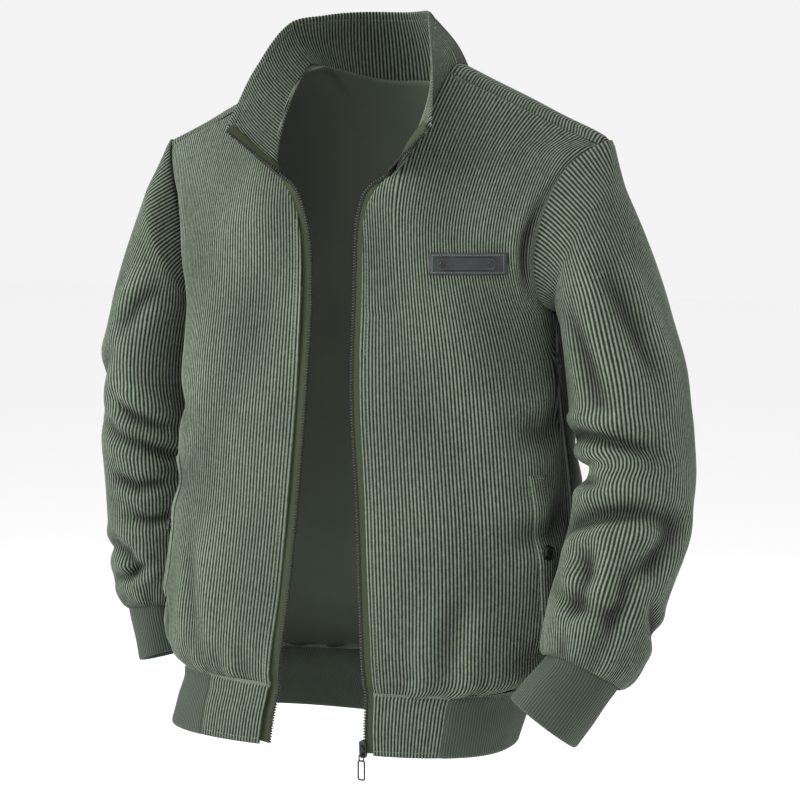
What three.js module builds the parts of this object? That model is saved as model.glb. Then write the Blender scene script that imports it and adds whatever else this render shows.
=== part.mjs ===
// A zip-up corduroy jacket, worn open: two fronts, a back, bent sleeves, a fallen-open stand
// collar, rib cuffs and hem, all hollow walls of cloth in the shape that wearing gives them.
// Millimetres. The wearer faces -Y, with the left arm at +X. The origin is between the
// shoulders, at the height where collar and shoulder seams meet and the jacket is held up.
import * as THREE from "three";

// Walls and gaps
const CLOTH = 2;
const COLLAR_CLOTH = 3;
const RIB_CLOTH = 2.6;
const SEAM_GAP = 0.4;
const LAYER_GAP = 0.35;

// Levels and slopes
const BAND_TOP = -604;
const BAND_BOTTOM = -660;
const ARMPIT_LEVEL = -238;
const SHOULDER_LEVEL = -76;
const NECK_HALF_WIDTH = 78;
const SHOULDER_SLOPE = Math.tan(THREE.MathUtils.degToRad(25));
const RIDGE_ROUNDING = 16;
const FRONT_SHOULDER = { depth: 150, fullness: 1.5 };
const BACK_SHOULDER = { depth: 110, fullness: 2 };
const SECTION_FULLNESS = 2.6;
const FORWARD_SEAM_DROP = 9;
const RIDGE_Y = -8;

// Front edge and neck
const ZIP_INSET = 9;
const STRAIGHT_EDGE_LEVEL = -227;
const NECK_FRONT = { x: 57, level: -110 };
const NECK_BACK_Y = 76;
const LAPEL = { lift: 17, level: -103, tall: 70, wide: 70 };

// What lies on the fronts
const TAB_WIDTH = 74;
const TAPE = { from: 3.2, to: 10.5, thick: 0.8, depth: 3.3 };
const SLEEVE_GAP = 2.5;
const SLEEVE_CLEAR = 3.4;
const CHAIN = { width: 3.9, thick: 2.6, offset: 0.75 };
const WELT = { top: -391, bottom: -536, along: 0.765, shift: 0.01, half: 0.045, thick: 1.8 };
const SNAP = { level: -464, diameter: 15, thick: 3.2 };
const PATCH = { x: 131.5, level: -191, width: 67, height: 20.5, thick: 2 };
const PLATE = { width: 55, height: 11.5, thick: 1.2, chamfer: 2.2 };
const RIVET = { diameter: 5.2, thick: 1, apart: 45 };
const SLIDER = { width: 8.2, length: 17, thick: 5, level: -655, corner: 1.6, inward: 1.95 };
const BRIDGE = { wide: 2, length: 11, tall: 4.6, bar: 1.3, lift: 0.3 };
const PULL = { width: 8.4, length: 26, wire: 1.8, eye: 4.6, thick: 1.2, top: -658.9 };

const TURN = Math.PI * 2;

// A table of rows with named columns, read at any value of its first column.
function table(names, rows) {
  const sorted = [...rows].sort((one, other) => one[0] - other[0]);
  return (value) => {
    const last = sorted.length - 1;
    let i = 0;
    while (i < last - 1 && value > sorted[i + 1][0]) i += 1;
    const [before, from, to, after] = [
      sorted[Math.max(i - 1, 0)], sorted[i], sorted[i + 1], sorted[Math.min(i + 2, last)],
    ];
    const span = to[0] - from[0];
    const t = THREE.MathUtils.clamp((value - from[0]) / span, 0, 1);
    const found = {};
    names.forEach((name, column) => {
      const slopeIn = (to[column] - before[column]) / (to[0] - before[0]) * span;
      const slopeOut = (after[column] - from[column]) / (after[0] - from[0]) * span;
      found[name] = from[column] * (2 * t ** 3 - 3 * t ** 2 + 1) + slopeIn * (t ** 3 - 2 * t ** 2 + t)
        + to[column] * (3 * t ** 2 - 2 * t ** 3) + slopeOut * (t ** 3 - t ** 2);
    });
    return found;
  };
}

// The body's level sections: middle, reach to the wearer's right and left, front and back.
const body = table(["level", "x", "y", "right", "left", "front", "back"], [
  [-662, -22, -60, 180, 178, 90, 90],
  [-635, -16, -52, 180, 178, 97, 93],
  [-604, -10, -42, 182, 180, 102, 95],
  [-590, -8, -35, 203, 202, 113, 109],
  [-560, -5, -29, 217, 216, 122, 119],
  [-500, -2, -25, 215, 214, 122, 121],
  [-430, 0, -22, 208, 206, 119, 121],
  [-380, 0, -21, 206, 200, 118, 120],
  [-330, 0, -20, 204, 193, 117, 120],
  [-280, 0, -18, 203, 188, 115, 118],
  [-238, 0, -16, 202, 188, 112, 116],
  [-180, 0, -12, 211, 198, 110, 112],
  [-130, 0, -8, 226, 214, 108, 108],
  [-80, 0, -6, 248, 240, 106, 104],
  [20, 0, -6, 270, 264, 104, 102],
]);

// How far the zip's teeth lie from the middle on each side, at each level.
const zipEdge = table(["level", "right", "left"], [
  [-662, 59, 44], [-604, 51, 42], [-560, 44, 41], [-513, 38, 38], [-431, 32, 32],
  [-322, 24, 24], [-227, 22, 22], [-161, 24.5, 24.5], [-135, 30.7, 30.7], [-118, 40, 40],
  [-103, 52.5, 52.5],
]);

// The edge of the front where it turns back under the zip, from the straight edge to the neck.
const turnedEdge = table(["x", "level"], [
  [31, -227], [33, -164], [37.5, -141], [44.5, -126], [57, -110],
]);

// How far out the armhole seams lie: front and back of the wearer's right and left.
const armhole = table(["level", "rightFront", "rightBack", "leftFront", "leftBack"], [
  [-238, 202, 202, 188, 188],
  [-222, 203, 205, 184, 191],
  [-200, 205, 208, 182, 196],
  [-170, 211, 212, 184, 203],
  [-142, 219, 218, 189, 210],
  [-120, 226, 225, 196, 216],
  [-98, 233, 231, 207, 223],
  [-85, 237, 236, 220, 229],
  [-76, 240, 240, 233, 233],
]);

const sideName = (side) => (side < 0 ? "right" : "left");
const smooth = (t) => t * t * (3 - 2 * t);
const ridgeLevel = (x) => (NECK_HALF_WIDTH - Math.hypot(x, RIDGE_ROUNDING)) * SHOULDER_SLOPE;
const roundness = (drop, { depth, fullness }) => (
  (1 - (1 - Math.min(drop / depth, 1)) ** fullness) ** (1 / fullness));
const dropFor = (share, { depth, fullness }) => (
  depth * (1 - (1 - Math.min(share, 1) ** fullness) ** (1 / fullness)));

// Depth of the cloth at x: a full oval section, drawn in to the shoulder's ridge above the chest.
function reachAt(x, level, facing) {
  const row = body(level);
  const side = x - row.x < 0 ? row.right : row.left;
  const across = Math.min(Math.abs(x - row.x) / side, 1);
  const oval = (1 - across ** SECTION_FULLNESS) ** (1 / SECTION_FULLNESS);
  return { middle: row.y, reach: (facing < 0 ? row.front : row.back) * oval };
}

function clothPoint(x, drop, facing) {
  const level = ridgeLevel(x) - drop;
  const { middle, reach } = reachAt(x, level, facing);
  const round = roundness(drop, facing < 0 ? FRONT_SHOULDER : BACK_SHOULDER);
  const start = THREE.MathUtils.lerp(RIDGE_Y, middle, round);
  const lapel = facing < 0
    ? LAPEL.lift * Math.exp(-(((level - LAPEL.level) / LAPEL.tall) ** 2)
      - ((Math.abs(x) - 40) / LAPEL.wide) ** 2)
    : 0;
  return new THREE.Vector3(x, start + facing * reach * round - lapel, level);
}

const frontAt = (x, level) => clothPoint(x, Math.max(ridgeLevel(x) - level, 0), -1);
const backAt = (x, level) => clothPoint(x, Math.max(ridgeLevel(x) - level, 0), 1);

// Where a level section starts and ends: the front edge or middle back, and the side or armhole.
function sectionEnds(side, level, facing) {
  const row = body(level);
  const name = sideName(side);
  const reach = level < ARMPIT_LEVEL ? row[name]
    : Math.min(armhole(Math.min(level, SHOULDER_LEVEL))[name + (facing < 0 ? "Front" : "Back")], row[name]);
  const outer = row.x * (level < ARMPIT_LEVEL ? 1 : 0) + side * reach;
  const inner = facing < 0
    ? side * (ZIP_INSET + zipEdge(Math.min(level, STRAIGHT_EDGE_LEVEL))[name]) : row.x;
  return [inner, outer];
}

// The x that lies a given share of the way along a level section, measured on the cloth.
const STEPS = 36;
function sectionX(side, level, share, facing) {
  const [inner, outer] = sectionEnds(side, level, facing);
  const at = facing < 0 ? frontAt : backAt;
  const xs = [];
  const run = [0];
  for (let k = 0; k <= STEPS; k += 1) {
    xs.push(inner + (outer - inner) * Math.sin((k / STEPS) * (Math.PI / 2)));
    if (k > 0) run.push(run[k - 1] + at(xs[k], level).distanceTo(at(xs[k - 1], level)));
  }
  const wanted = share * run[STEPS];
  let k = 1;
  while (k < STEPS && run[k] < wanted) k += 1;
  return THREE.MathUtils.lerp(xs[k - 1], xs[k], (wanted - run[k - 1]) / (run[k] - run[k - 1]));
}

// The level where a front's upright stripe of cloth ends: zip, neck or shoulder seam.
function frontTop(x) {
  const across = Math.abs(x);
  const shoulder = ridgeLevel(x) - FORWARD_SEAM_DROP;
  if (across < NECK_FRONT.x) return turnedEdge(across).level;
  const along = (across - NECK_FRONT.x) / (NECK_HALF_WIDTH - NECK_FRONT.x);
  return along < 1 ? Math.min(NECK_FRONT.level * Math.sqrt(1 - along ** 2), shoulder) : shoulder;
}

// A closed wall on a grid of outer points, with the inner face moved in along the normals.
function wall(outer, thickness, { ring = false, flip = false } = {}) {
  const rows = outer.length;
  const columns = outer[0].length;
  const inner = outer.map((row, i) => row.map((point, j) => {
    const left = row[ring ? (j + columns - 1) % columns : Math.max(j - 1, 0)];
    const right = row[ring ? (j + 1) % columns : Math.min(j + 1, columns - 1)];
    const across = right.clone().sub(left);
    const along = outer[Math.min(i + 1, rows - 1)][j].clone().sub(outer[Math.max(i - 1, 0)][j]);
    const normal = across.cross(along).normalize();
    return point.clone().addScaledVector(normal, flip ? thickness : -thickness);
  }));
  const index = (face, i, j) => face * rows * columns + i * columns + (j % columns);
  const faces = [];
  const quad = (a, b, c, d) => faces.push(flip ? [a, c, b] : [a, b, c], flip ? [a, d, c] : [a, c, d]);
  const spans = ring ? columns : columns - 1;
  for (let i = 0; i < rows - 1; i += 1) {
    for (let j = 0; j < spans; j += 1) {
      quad(index(0, i, j), index(0, i, j + 1), index(0, i + 1, j + 1), index(0, i + 1, j));
      quad(index(1, i, j), index(1, i + 1, j), index(1, i + 1, j + 1), index(1, i, j + 1));
    }
    if (!ring) {
      quad(index(0, i, 0), index(0, i + 1, 0), index(1, i + 1, 0), index(1, i, 0));
      quad(index(0, i, spans), index(1, i, spans), index(1, i + 1, spans), index(0, i + 1, spans));
    }
  }
  for (let j = 0; j < spans; j += 1) {
    quad(index(0, 0, j), index(1, 0, j), index(1, 0, j + 1), index(0, 0, j + 1));
    const end = rows - 1;
    quad(index(0, end, j), index(0, end, j + 1), index(1, end, j + 1), index(1, end, j));
  }
  const geometry = new THREE.BufferGeometry();
  const points = [...outer.flat(), ...inner.flat()];
  const numbers = points.flatMap((point) => point.toArray());
  geometry.setAttribute("position", new THREE.Float32BufferAttribute(numbers, 3));
  geometry.setIndex(faces.flat());
  return geometry;
}

const group = new THREE.Group();
function add(name, geometry, finish) {
  geometry.computeVertexNormals();
  const mesh = new THREE.Mesh(geometry, new THREE.MeshStandardMaterial(finish));
  mesh.name = name;
  group.add(mesh);
  return mesh;
}

const CORDUROY = { color: 0x6a7867, roughness: 0.9, metalness: 0 };
const RIB = { color: 0x4c5a4b, roughness: 0.95, metalness: 0 };
const TAPE_FINISH = { color: 0x3e5030, roughness: 0.9, metalness: 0 };
const BLACK_METAL = { color: 0x15171a, roughness: 0.35, metalness: 0.9 };
const LEATHER = { color: 0x3c4848, roughness: 0.6, metalness: 0 };

const evenly = (count) => Array.from({ length: count + 1 }, (_, k) => k / count);

// One front: upright stripes of cloth from the hem band's seam to wherever each one ends.
const FRONT_ROWS = 22;
function stripeTop(side, share) {
  let level = STRAIGHT_EDGE_LEVEL + 60;
  for (let pass = 0; pass < 24; pass += 1) {
    level = (level + frontTop(sectionX(side, level, share, -1))) / 2;
  }
  return level;
}
function shareOfX(side, x, level) {
  let [low, high] = [0, 1];
  for (let pass = 0; pass < 24; pass += 1) {
    const middle = (low + high) / 2;
    if (Math.abs(sectionX(side, level, middle, -1)) < x) low = middle; else high = middle;
  }
  return (low + high) / 2;
}
function frontPanel(side) {
  const corner = shareOfX(side, NECK_FRONT.x, NECK_FRONT.level);
  const shoulder = shareOfX(side, NECK_HALF_WIDTH - 0.4, -20);
  const shares = [
    0.002, corner * 0.22, corner * 0.55, corner * 0.8, corner, (corner + shoulder) / 2 - 0.005,
    shoulder - 0.028, shoulder - 0.008, shoulder + 0.005,
    ...evenly(8).slice(1).map((t) => THREE.MathUtils.lerp(shoulder, 0.9985, t)),
  ];
  const tops = shares.map((share) => stripeTop(side, share));
  const grid = evenly(FRONT_ROWS).map((t) => shares.map((share, j) => {
    const level = THREE.MathUtils.lerp(BAND_TOP + SEAM_GAP, tops[j] - SEAM_GAP, t ** 0.94);
    return frontAt(sectionX(side, level, share, -1), level);
  }));
  return wall(grid, CLOTH, { flip: side < 0 });
}
add("front_right", frontPanel(-1), CORDUROY);
add("front_left", frontPanel(1), CORDUROY);

// The back: stripes from the hem band up to the neck, or over the shoulder to its forward seam.
const BACK_ROWS = 22;
const OVER_THE_TOP = 26;
function backStripe(side, share) {
  const along = (drop, facing) => {
    let x = side * 150 * share;
    for (let pass = 0; pass < 8; pass += 1) x = sectionX(side, ridgeLevel(x) - drop, share, 1);
    return clothPoint(x, drop, facing);
  };
  const bottom = 28 - BAND_TOP - SEAM_GAP;
  let start = bottom;
  for (let pass = 0; pass < 8; pass += 1) start += along(start, 1).z - (BAND_TOP + SEAM_GAP);
  const neckX = Math.abs(along(20, 1).x);
  let end = -(FORWARD_SEAM_DROP - 3 * SEAM_GAP);
  if (neckX < NECK_HALF_WIDTH - 1) {
    const y = RIDGE_Y + (NECK_BACK_Y - RIDGE_Y) * Math.sqrt(1 - (neckX / NECK_HALF_WIDTH) ** 2);
    const { middle, reach } = reachAt(neckX, -20, 1);
    end = dropFor((y - RIDGE_Y) / (middle - RIDGE_Y + reach), BACK_SHOULDER) + SEAM_GAP;
  }
  const steep = (drop) => Math.sign(drop)
    * (Math.abs(drop) + Math.sqrt(drop ** 2 + 4 * OVER_THE_TOP * Math.abs(drop))) / 2;
  return evenly(BACK_ROWS).map((t) => {
    const way = THREE.MathUtils.lerp(steep(start), steep(end), t);
    return along(way ** 2 / (Math.abs(way) + OVER_THE_TOP), way < 0 ? -1 : 1);
  });
}
const BACK_SHARES = [
  0, 0.1, 0.2, 0.29, 0.345, 0.375, 0.4, 0.43, 0.5, 0.58, 0.66, 0.74, 0.82, 0.9, 0.96, 0.9985,
];
{
  const stripes = [
    ...BACK_SHARES.slice(1).reverse().map((share) => backStripe(-1, share)),
    ...BACK_SHARES.map((share) => backStripe(1, share)),
  ];
  const grid = evenly(BACK_ROWS).map((_, i) => stripes.map((stripe) => stripe[i]));
  add("back", wall(grid, CLOTH, { flip: true }), CORDUROY);
}

// Collar: its seam follows the neck, and its top edge the measured fall, higher on the left.
const collarTop = table(["share", "x", "y", "z"], [
  [-1, -109, -137, -69], [-0.75, -112, -106, -42], [-0.56, -106, -78, -6], [-0.4, -86, -42, 38],
  [-0.3, -64, -8, 46], [-0.18, -40, 28, 50], [0, 0, 46, 50], [0.18, 31, 24, 50], [0.3, 48, -12, 44],
  [0.4, 62, -42, 31],
  [0.56, 86, -88, 0], [0.75, 99, -116, -38], [1, 106, -134, -67],
]);
const BACK_NECK_SHARE = 0.4;
const COLLAR_LIFT = 2.2;
const COLLAR_BOW = 5;
function neckPoint(share) {
  const across = Math.abs(share);
  const side = Math.sign(share) || 1;
  if (across < BACK_NECK_SHARE) {
    const angle = (across / BACK_NECK_SHARE) * (Math.PI / 2);
    const x = NECK_HALF_WIDTH * Math.sin(angle);
    const { middle, reach } = reachAt(x, -20, 1);
    const y = (NECK_BACK_Y - RIDGE_Y) * Math.cos(angle);
    return clothPoint(side * x, dropFor(y / (middle - RIDGE_Y + reach), BACK_SHOULDER), 1);
  }
  const angle = ((across - BACK_NECK_SHARE) / (1 - BACK_NECK_SHARE)) * (Math.PI / 2);
  const x = NECK_FRONT.x + (NECK_HALF_WIDTH - NECK_FRONT.x) * Math.cos(angle);
  return frontAt(side * x, Math.min(NECK_FRONT.level * Math.sin(angle), ridgeLevel(x)));
}
function collarPoint(share, height) {
  const seam = neckPoint(share);
  const edge = collarTop(share);
  const top = new THREE.Vector3(edge.x, edge.y, edge.z);
  const point = seam.clone().lerp(top, height);
  const outward = new THREE.Vector3(seam.x, seam.y + 20, 0).normalize();
  const bow = COLLAR_BOW * Math.sin(Math.PI * height) * (Math.abs(share) > 0.9 ? 0.4 : 1);
  return point.addScaledVector(outward, bow);
}
const COLLAR_CUT = 0.945;
{
  const heights = [0, 0.2, 0.45, 0.7, 0.88, 1];
  const grid = heights.map((height) => evenly(36).map((t) => {
    const share = (t * 2 - 1) * COLLAR_CUT;
    const length = neckPoint(share).distanceTo(collarPoint(share, 1));
    return collarPoint(share, THREE.MathUtils.lerp(COLLAR_LIFT / length, 1, height));
  }));
  add("collar", wall(grid, COLLAR_CLOTH, { flip: false }), CORDUROY);
}

// Hem band: a corduroy tab beside each half of the zip, and rib knit round the sides and back.
function sectionLength(side, level, facing) {
  const at = facing < 0 ? frontAt : backAt;
  const points = evenly(STEPS).map((t) => at(sectionX(side, level, t, facing), level));
  return points.slice(1).reduce((sum, point, k) => sum + point.distanceTo(points[k]), 0);
}
const BAND_LEVELS = [BAND_TOP - SEAM_GAP, -622, -641, BAND_BOTTOM];
const tabShare = (side) => TAB_WIDTH / sectionLength(side, BAND_TOP, -1);
const TAB_GAP_SHARE = 0.002;
function bandGrid(stations) {
  return BAND_LEVELS.map((level) => stations.map(({ side, facing, share }) => (
    (facing < 0 ? frontAt : backAt)(sectionX(side, level, share, facing), level))));
}
for (const side of [-1, 1]) {
  const stations = evenly(5).map((t) => (
    { side, facing: -1, share: THREE.MathUtils.lerp(0.002, tabShare(side) - TAB_GAP_SHARE, t) }));
  add(`hem_tab_${sideName(side)}`, wall(bandGrid(stations), RIB_CLOTH, { flip: side < 0 }), CORDUROY);
}
{
  const around = (side) => [
    ...evenly(7).map((t) => (
      { side, facing: -1, share: THREE.MathUtils.lerp(tabShare(side) + TAB_GAP_SHARE, 1, t) })),
    ...evenly(9).slice(1).map((t) => ({ side, facing: 1, share: 1 - t })),
  ];
  const stations = [...around(1), ...around(-1).reverse().slice(1)];
  add("hem_rib", wall(bandGrid(stations), RIB_CLOTH), RIB);
}

// Sleeves: rings about a bent middle line. lean turns a ring's plane from facing outward (0) to
// facing down (90), bend turns it forward, and out, in and deep are its half widths.
const SLEEVE_COLUMNS = ["run", "x", "y", "z", "lean", "bend", "out", "in", "deep"];
const sleeve = {
  left: table(SLEEVE_COLUMNS, [
    [10, 214, -12, -161, 17, 0, 80, 80, 52],
    [26, 219, -10, -179, 23, 0, 68, 68, 58],
    [56, 228, -8, -202, 38, 0, 56, 56, 64],
    [86, 237, -6, -227, 55, 0, 49, 49, 69],
    [114, 244, -5, -253, 72, 0, 48, 48, 72],
    [168, 256, -5, -305, 77, 0, 54, 54, 71],
    [213, 262, -8, -350, 79, 6, 55, 54, 68],
    [236, 266, -12, -373, 83, 12, 54, 50, 66],
    [256, 270, -19, -392, 87, 17, 54, 35, 62],
    [278, 271, -29, -413, 92, 22, 54, 50, 61],
    [308, 272, -42, -440, 96, 28, 54, 53, 60],
    [356, 268, -66, -481, 98, 30, 52, 52, 56],
    [403, 263, -90, -522, 98, 30, 50, 50, 52],
    [442, 259, -109, -554, 100, 29, 46, 45, 46],
    [458, 254, -115, -567, 108, 24, 38, 38, 37],
  ]),
  right: table(SLEEVE_COLUMNS, [
    [10, 222, -10, -161, 17, 0, 80, 80, 52],
    [26, 229, -8, -179, 21, 0, 68, 68, 58],
    [56, 238, -5, -202, 36, 0, 56, 56, 64],
    [86, 247, -3, -227, 55, 0, 49, 49, 69],
    [114, 255, -1, -253, 72, 0, 47, 47, 72],
    [168, 266, 3, -305, 77, 0, 50, 50, 70],
    [213, 267, 8, -350, 80, -2, 47, 50, 68],
    [236, 270, 10, -373, 84, -2, 50, 50, 67],
    [256, 273, 12, -392, 86, -2, 53, 49, 65],
    [278, 274, 14, -413, 88, -2, 51, 50, 64],
    [308, 274, 17, -440, 88, -2, 51, 50, 62],
    [356, 276, 20, -481, 90, 2, 50, 48, 58],
    [403, 274, 18, -522, 91, 5, 48, 46, 54],
    [442, 272, 12, -554, 92, 10, 43, 42, 47],
    [458, 270, 9, -567, 98, 10, 32, 32, 38],
  ]),
};
const ARMHOLE_MIDDLE = (ARMPIT_LEVEL + SHOULDER_LEVEL) / 2;
const ARMHOLE_HALF = (SHOULDER_LEVEL - ARMPIT_LEVEL) / 2;
function ringPoint(side, row, angle) {
  const [lean, bend] = [row.lean, row.bend].map(THREE.MathUtils.degToRad);
  const up = new THREE.Vector3(Math.sin(lean) * side, 0, Math.cos(lean));
  const down = new THREE.Vector3(Math.cos(lean) * side, 0, -Math.sin(lean));
  const ahead = new THREE.Vector3(0, -Math.cos(bend), 0).addScaledVector(down, -Math.sin(bend));
  return new THREE.Vector3(row.x * side, row.y, row.z)
    .addScaledVector(up, Math.cos(angle) * (Math.cos(angle) > 0 ? row.out : row.in))
    .addScaledVector(ahead, Math.sin(angle) * row.deep);
}
function armholePoint(side, angle) {
  const level = ARMHOLE_MIDDLE + ARMHOLE_HALF * Math.cos(angle);
  const facing = Math.sin(angle) >= 0 ? -1 : 1;
  const [, x] = sectionEnds(side, Math.min(Math.max(level, ARMPIT_LEVEL), SHOULDER_LEVEL), facing);
  const point = facing < 0 ? frontAt(x, level) : backAt(x, level);
  point.x += side * SLEEVE_GAP;
  return point;
}
// Moves a point of a sleeve out from the body's side or armhole to keep the cloth clear of it.
function clearOfBody(side, point, clear) {
  const row = body(point.z);
  const ahead = point.y < row.y;
  const across = Math.min(Math.abs(point.y - row.y) / (ahead ? row.front : row.back), 1);
  const name = sideName(side);
  let limit = side * row.x + row[name] * (1 - across ** SECTION_FULLNESS) ** (1 / SECTION_FULLNESS);
  if (point.z > ARMPIT_LEVEL) {
    const edge = armhole(Math.min(point.z, SHOULDER_LEVEL))[name + (ahead ? "Front" : "Back")];
    limit = Math.min(limit, edge);
  }
  point.x = side * Math.max(side * point.x, limit + clear);
  return point;
}
const SLEEVE_STEPS = 20;
const SLEEVE_RUNS = [
  0, 5, 10, 26, 56, 86, 114, 141, 168, 192, 213, 225, 236, 246, 256, 267, 278, 293, 308, 332,
  356, 380, 403, 424, 442, 452, 458,
];
const angles = Array.from({ length: SLEEVE_STEPS }, (_, k) => (k / SLEEVE_STEPS) * TURN);
for (const side of [-1, 1]) {
  const name = sideName(side);
  const first = SLEEVE_RUNS[2];
  const grid = SLEEVE_RUNS.map((run) => angles.map((angle) => {
    const ring = ringPoint(side, sleeve[name](Math.max(run, first)), angle);
    const point = run < first ? armholePoint(side, angle).lerp(ring, run / first) : ring;
    return run > 0 ? clearOfBody(side, point, Math.min(SLEEVE_GAP + run * 0.25, SLEEVE_CLEAR)) : point;
  }));
  add(`sleeve_${name}`, wall(grid, CLOTH, { ring: true, flip: side > 0 }), CORDUROY);
}

// Rib cuffs, tucked just inside the sleeve ends.
const cuff = {
  left: [
    { x: 255.5, y: -113.5, z: -563, lean: 110, bend: 22, out: 35, in: 35, deep: 34 },
    { x: 250, y: -118, z: -573, lean: 122, bend: 18, out: 33, in: 33, deep: 32 },
    { x: 236, y: -126, z: -593, lean: 123, bend: 18, out: 35, in: 35, deep: 33 },
    { x: 222, y: -134, z: -614, lean: 123, bend: 18, out: 36, in: 36, deep: 34 },
  ],
  right: [
    { x: 270.5, y: 9.5, z: -563, lean: 98, bend: 10, out: 29, in: 29, deep: 35 },
    { x: 268, y: 7, z: -573, lean: 106, bend: 8, out: 28, in: 28, deep: 34 },
    { x: 262, y: 5, z: -593, lean: 108, bend: 6, out: 28, in: 28, deep: 34 },
    { x: 255, y: 2, z: -614, lean: 109, bend: 6, out: 29, in: 29, deep: 35 },
  ],
};
for (const side of [-1, 1]) {
  const grid = cuff[sideName(side)].map((row) => angles.map((angle) => ringPoint(side, row, angle)));
  add(`cuff_${sideName(side)}`, wall(grid, RIB_CLOTH, { ring: true, flip: side > 0 }), RIB);
}

// The zip: a tape tucked under each front edge and a chain of teeth along it, up the collar.
const ZIP_LEVELS = [
  -657, -646, -632, -618, -604, -580, -550, -520, -490, -455, -420, -385, -350, -315, -280, -250,
  -227, -195,
];
const TURNED = [
  { teeth: [24.5, -161], cloth: [33, -164] }, { teeth: [30.7, -135], cloth: [37.5, -141] },
  { teeth: [40, -118], cloth: [44.5, -126] },
];
const ZIP_HEIGHTS = [0.12, 0.4, 0.7, 1];
function zipLine(side) {
  const name = sideName(side);
  const rows = ZIP_LEVELS.map((level) => {
    const x = zipEdge(level)[name];
    return [frontAt(side * x, level), frontAt(side * (x + ZIP_INSET), level)];
  });
  TURNED.forEach(({ teeth, cloth }) => rows.push(
    [frontAt(side * teeth[0], teeth[1]), frontAt(side * cloth[0], cloth[1])]));
  ZIP_HEIGHTS.forEach((height) => rows.push(
    [collarPoint(side, height), collarPoint(side * COLLAR_CUT, height)]));
  return rows.map(([teeth, cloth], k) => {
    const [before, after] = [rows[Math.max(k - 1, 0)][0], rows[Math.min(k + 1, rows.length - 1)][0]];
    const along = after.clone().sub(before).normalize();
    const across = cloth.clone().sub(teeth);
    across.addScaledVector(along, -across.dot(along)).normalize();
    return { teeth, across, normal: along.clone().cross(across).multiplyScalar(-side) };
  });
}
function strip(line, from, to, top, thick, side) {
  const grid = line.map(({ teeth, across, normal }) => [from, to].map((reach) => (
    teeth.clone().addScaledVector(across, reach).addScaledVector(normal, top))));
  return wall(grid, thick, { flip: side < 0 });
}
for (const side of [-1, 1]) {
  const name = sideName(side);
  const line = zipLine(side);
  add(`zip_tape_${name}`, strip(line, TAPE.from, TAPE.to, -TAPE.depth, TAPE.thick, side), TAPE_FINISH);
  const chain = side > 0 ? line.slice(1) : line;
  const [inner, outer] = [CHAIN.offset - CHAIN.width / 2, CHAIN.offset + CHAIN.width / 2];
  const teeth = strip(chain, inner, outer, CHAIN.thick / 2 - TAPE.depth, CHAIN.thick, side);
  add(`zip_chain_${name}`, teeth, BLACK_METAL);
}

// A panel that lies on a front: its grid of points moved out along the cloth's normal.
function clothNormal(x, level) {
  const across = frontAt(x + 1, level).sub(frontAt(x - 1, level));
  const along = frontAt(x, level + 1).sub(frontAt(x, level - 1));
  return across.cross(along).normalize();
}
const raised = (x, level, lift) => frontAt(x, level).addScaledVector(clothNormal(x, level), lift);

for (const side of [-1, 1]) {
  const rows = evenly(6).map((t) => {
    const level = THREE.MathUtils.lerp(WELT.bottom, WELT.top, t);
    const middle = WELT.along + WELT.shift * (1 - 2 * t);
    return [-1, -0.5, 0, 0.5, 1].map((across) => (
      raised(sectionX(side, level, middle + across * WELT.half, -1), level, LAYER_GAP + WELT.thick)));
  });
  add(`pocket_welt_${sideName(side)}`, wall(rows, WELT.thick, { flip: side < 0 }), CORDUROY);
  const snapX = sectionX(side, SNAP.level, WELT.along, -1);
  const snap = new THREE.CylinderGeometry(SNAP.diameter / 2 - 0.8, SNAP.diameter / 2, SNAP.thick, 20);
  const mesh = add(`snap_${sideName(side)}`, snap, BLACK_METAL);
  mesh.quaternion.setFromUnitVectors(new THREE.Vector3(0, 1, 0), clothNormal(snapX, SNAP.level));
  mesh.position.copy(raised(snapX, SNAP.level, LAYER_GAP * 2 + WELT.thick + SNAP.thick / 2));
}

// The leather patch on the left chest, with a bare chamfered plate held by two rivets.
{
  const grid = [-0.5, 0, 0.5].map((up) => [-0.5, -0.25, 0, 0.25, 0.5].map((across) => (
    raised(PATCH.x + across * PATCH.width, PATCH.level + up * PATCH.height, LAYER_GAP + PATCH.thick))));
  add("label_patch", wall(grid, PATCH.thick), LEATHER);
  const normal = clothNormal(PATCH.x, PATCH.level);
  const seat = LAYER_GAP + PATCH.thick + 0.8;
  const outline = new THREE.Shape();
  const [w, h, c] = [PLATE.width / 2, PLATE.height / 2, PLATE.chamfer];
  outline.moveTo(-w + c, -h).lineTo(w - c, -h).lineTo(w, -h + c).lineTo(w, h - c)
    .lineTo(w - c, h).lineTo(-w + c, h).lineTo(-w, h - c).lineTo(-w, -h + c).closePath();
  const slab = new THREE.ExtrudeGeometry(outline, { depth: PLATE.thick, bevelEnabled: false });
  const plate = add("label_plate", slab, LEATHER);
  const upright = new THREE.Quaternion().setFromAxisAngle(new THREE.Vector3(1, 0, 0), Math.PI / 2);
  const turn = new THREE.Quaternion().setFromUnitVectors(new THREE.Vector3(0, -1, 0), normal)
    .multiply(upright);
  plate.quaternion.copy(turn);
  plate.position.copy(raised(PATCH.x, PATCH.level, seat));
  for (const [name, way] of [["inner", -1], ["outer", 1]]) {
    const radius = RIVET.diameter / 2;
    const head = new THREE.CylinderGeometry(radius - 0.5, radius, RIVET.thick, 16);
    const rivet = add(`rivet_${name}`, head, BLACK_METAL);
    rivet.quaternion.setFromUnitVectors(new THREE.Vector3(0, 1, 0), normal);
    const along = new THREE.Vector3(1, 0, 0).applyQuaternion(turn);
    rivet.position.copy(raised(PATCH.x, PATCH.level, seat + PLATE.thick + LAYER_GAP + RIVET.thick / 2))
      .addScaledVector(along, way * RIVET.apart / 2);
  }
}

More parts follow.
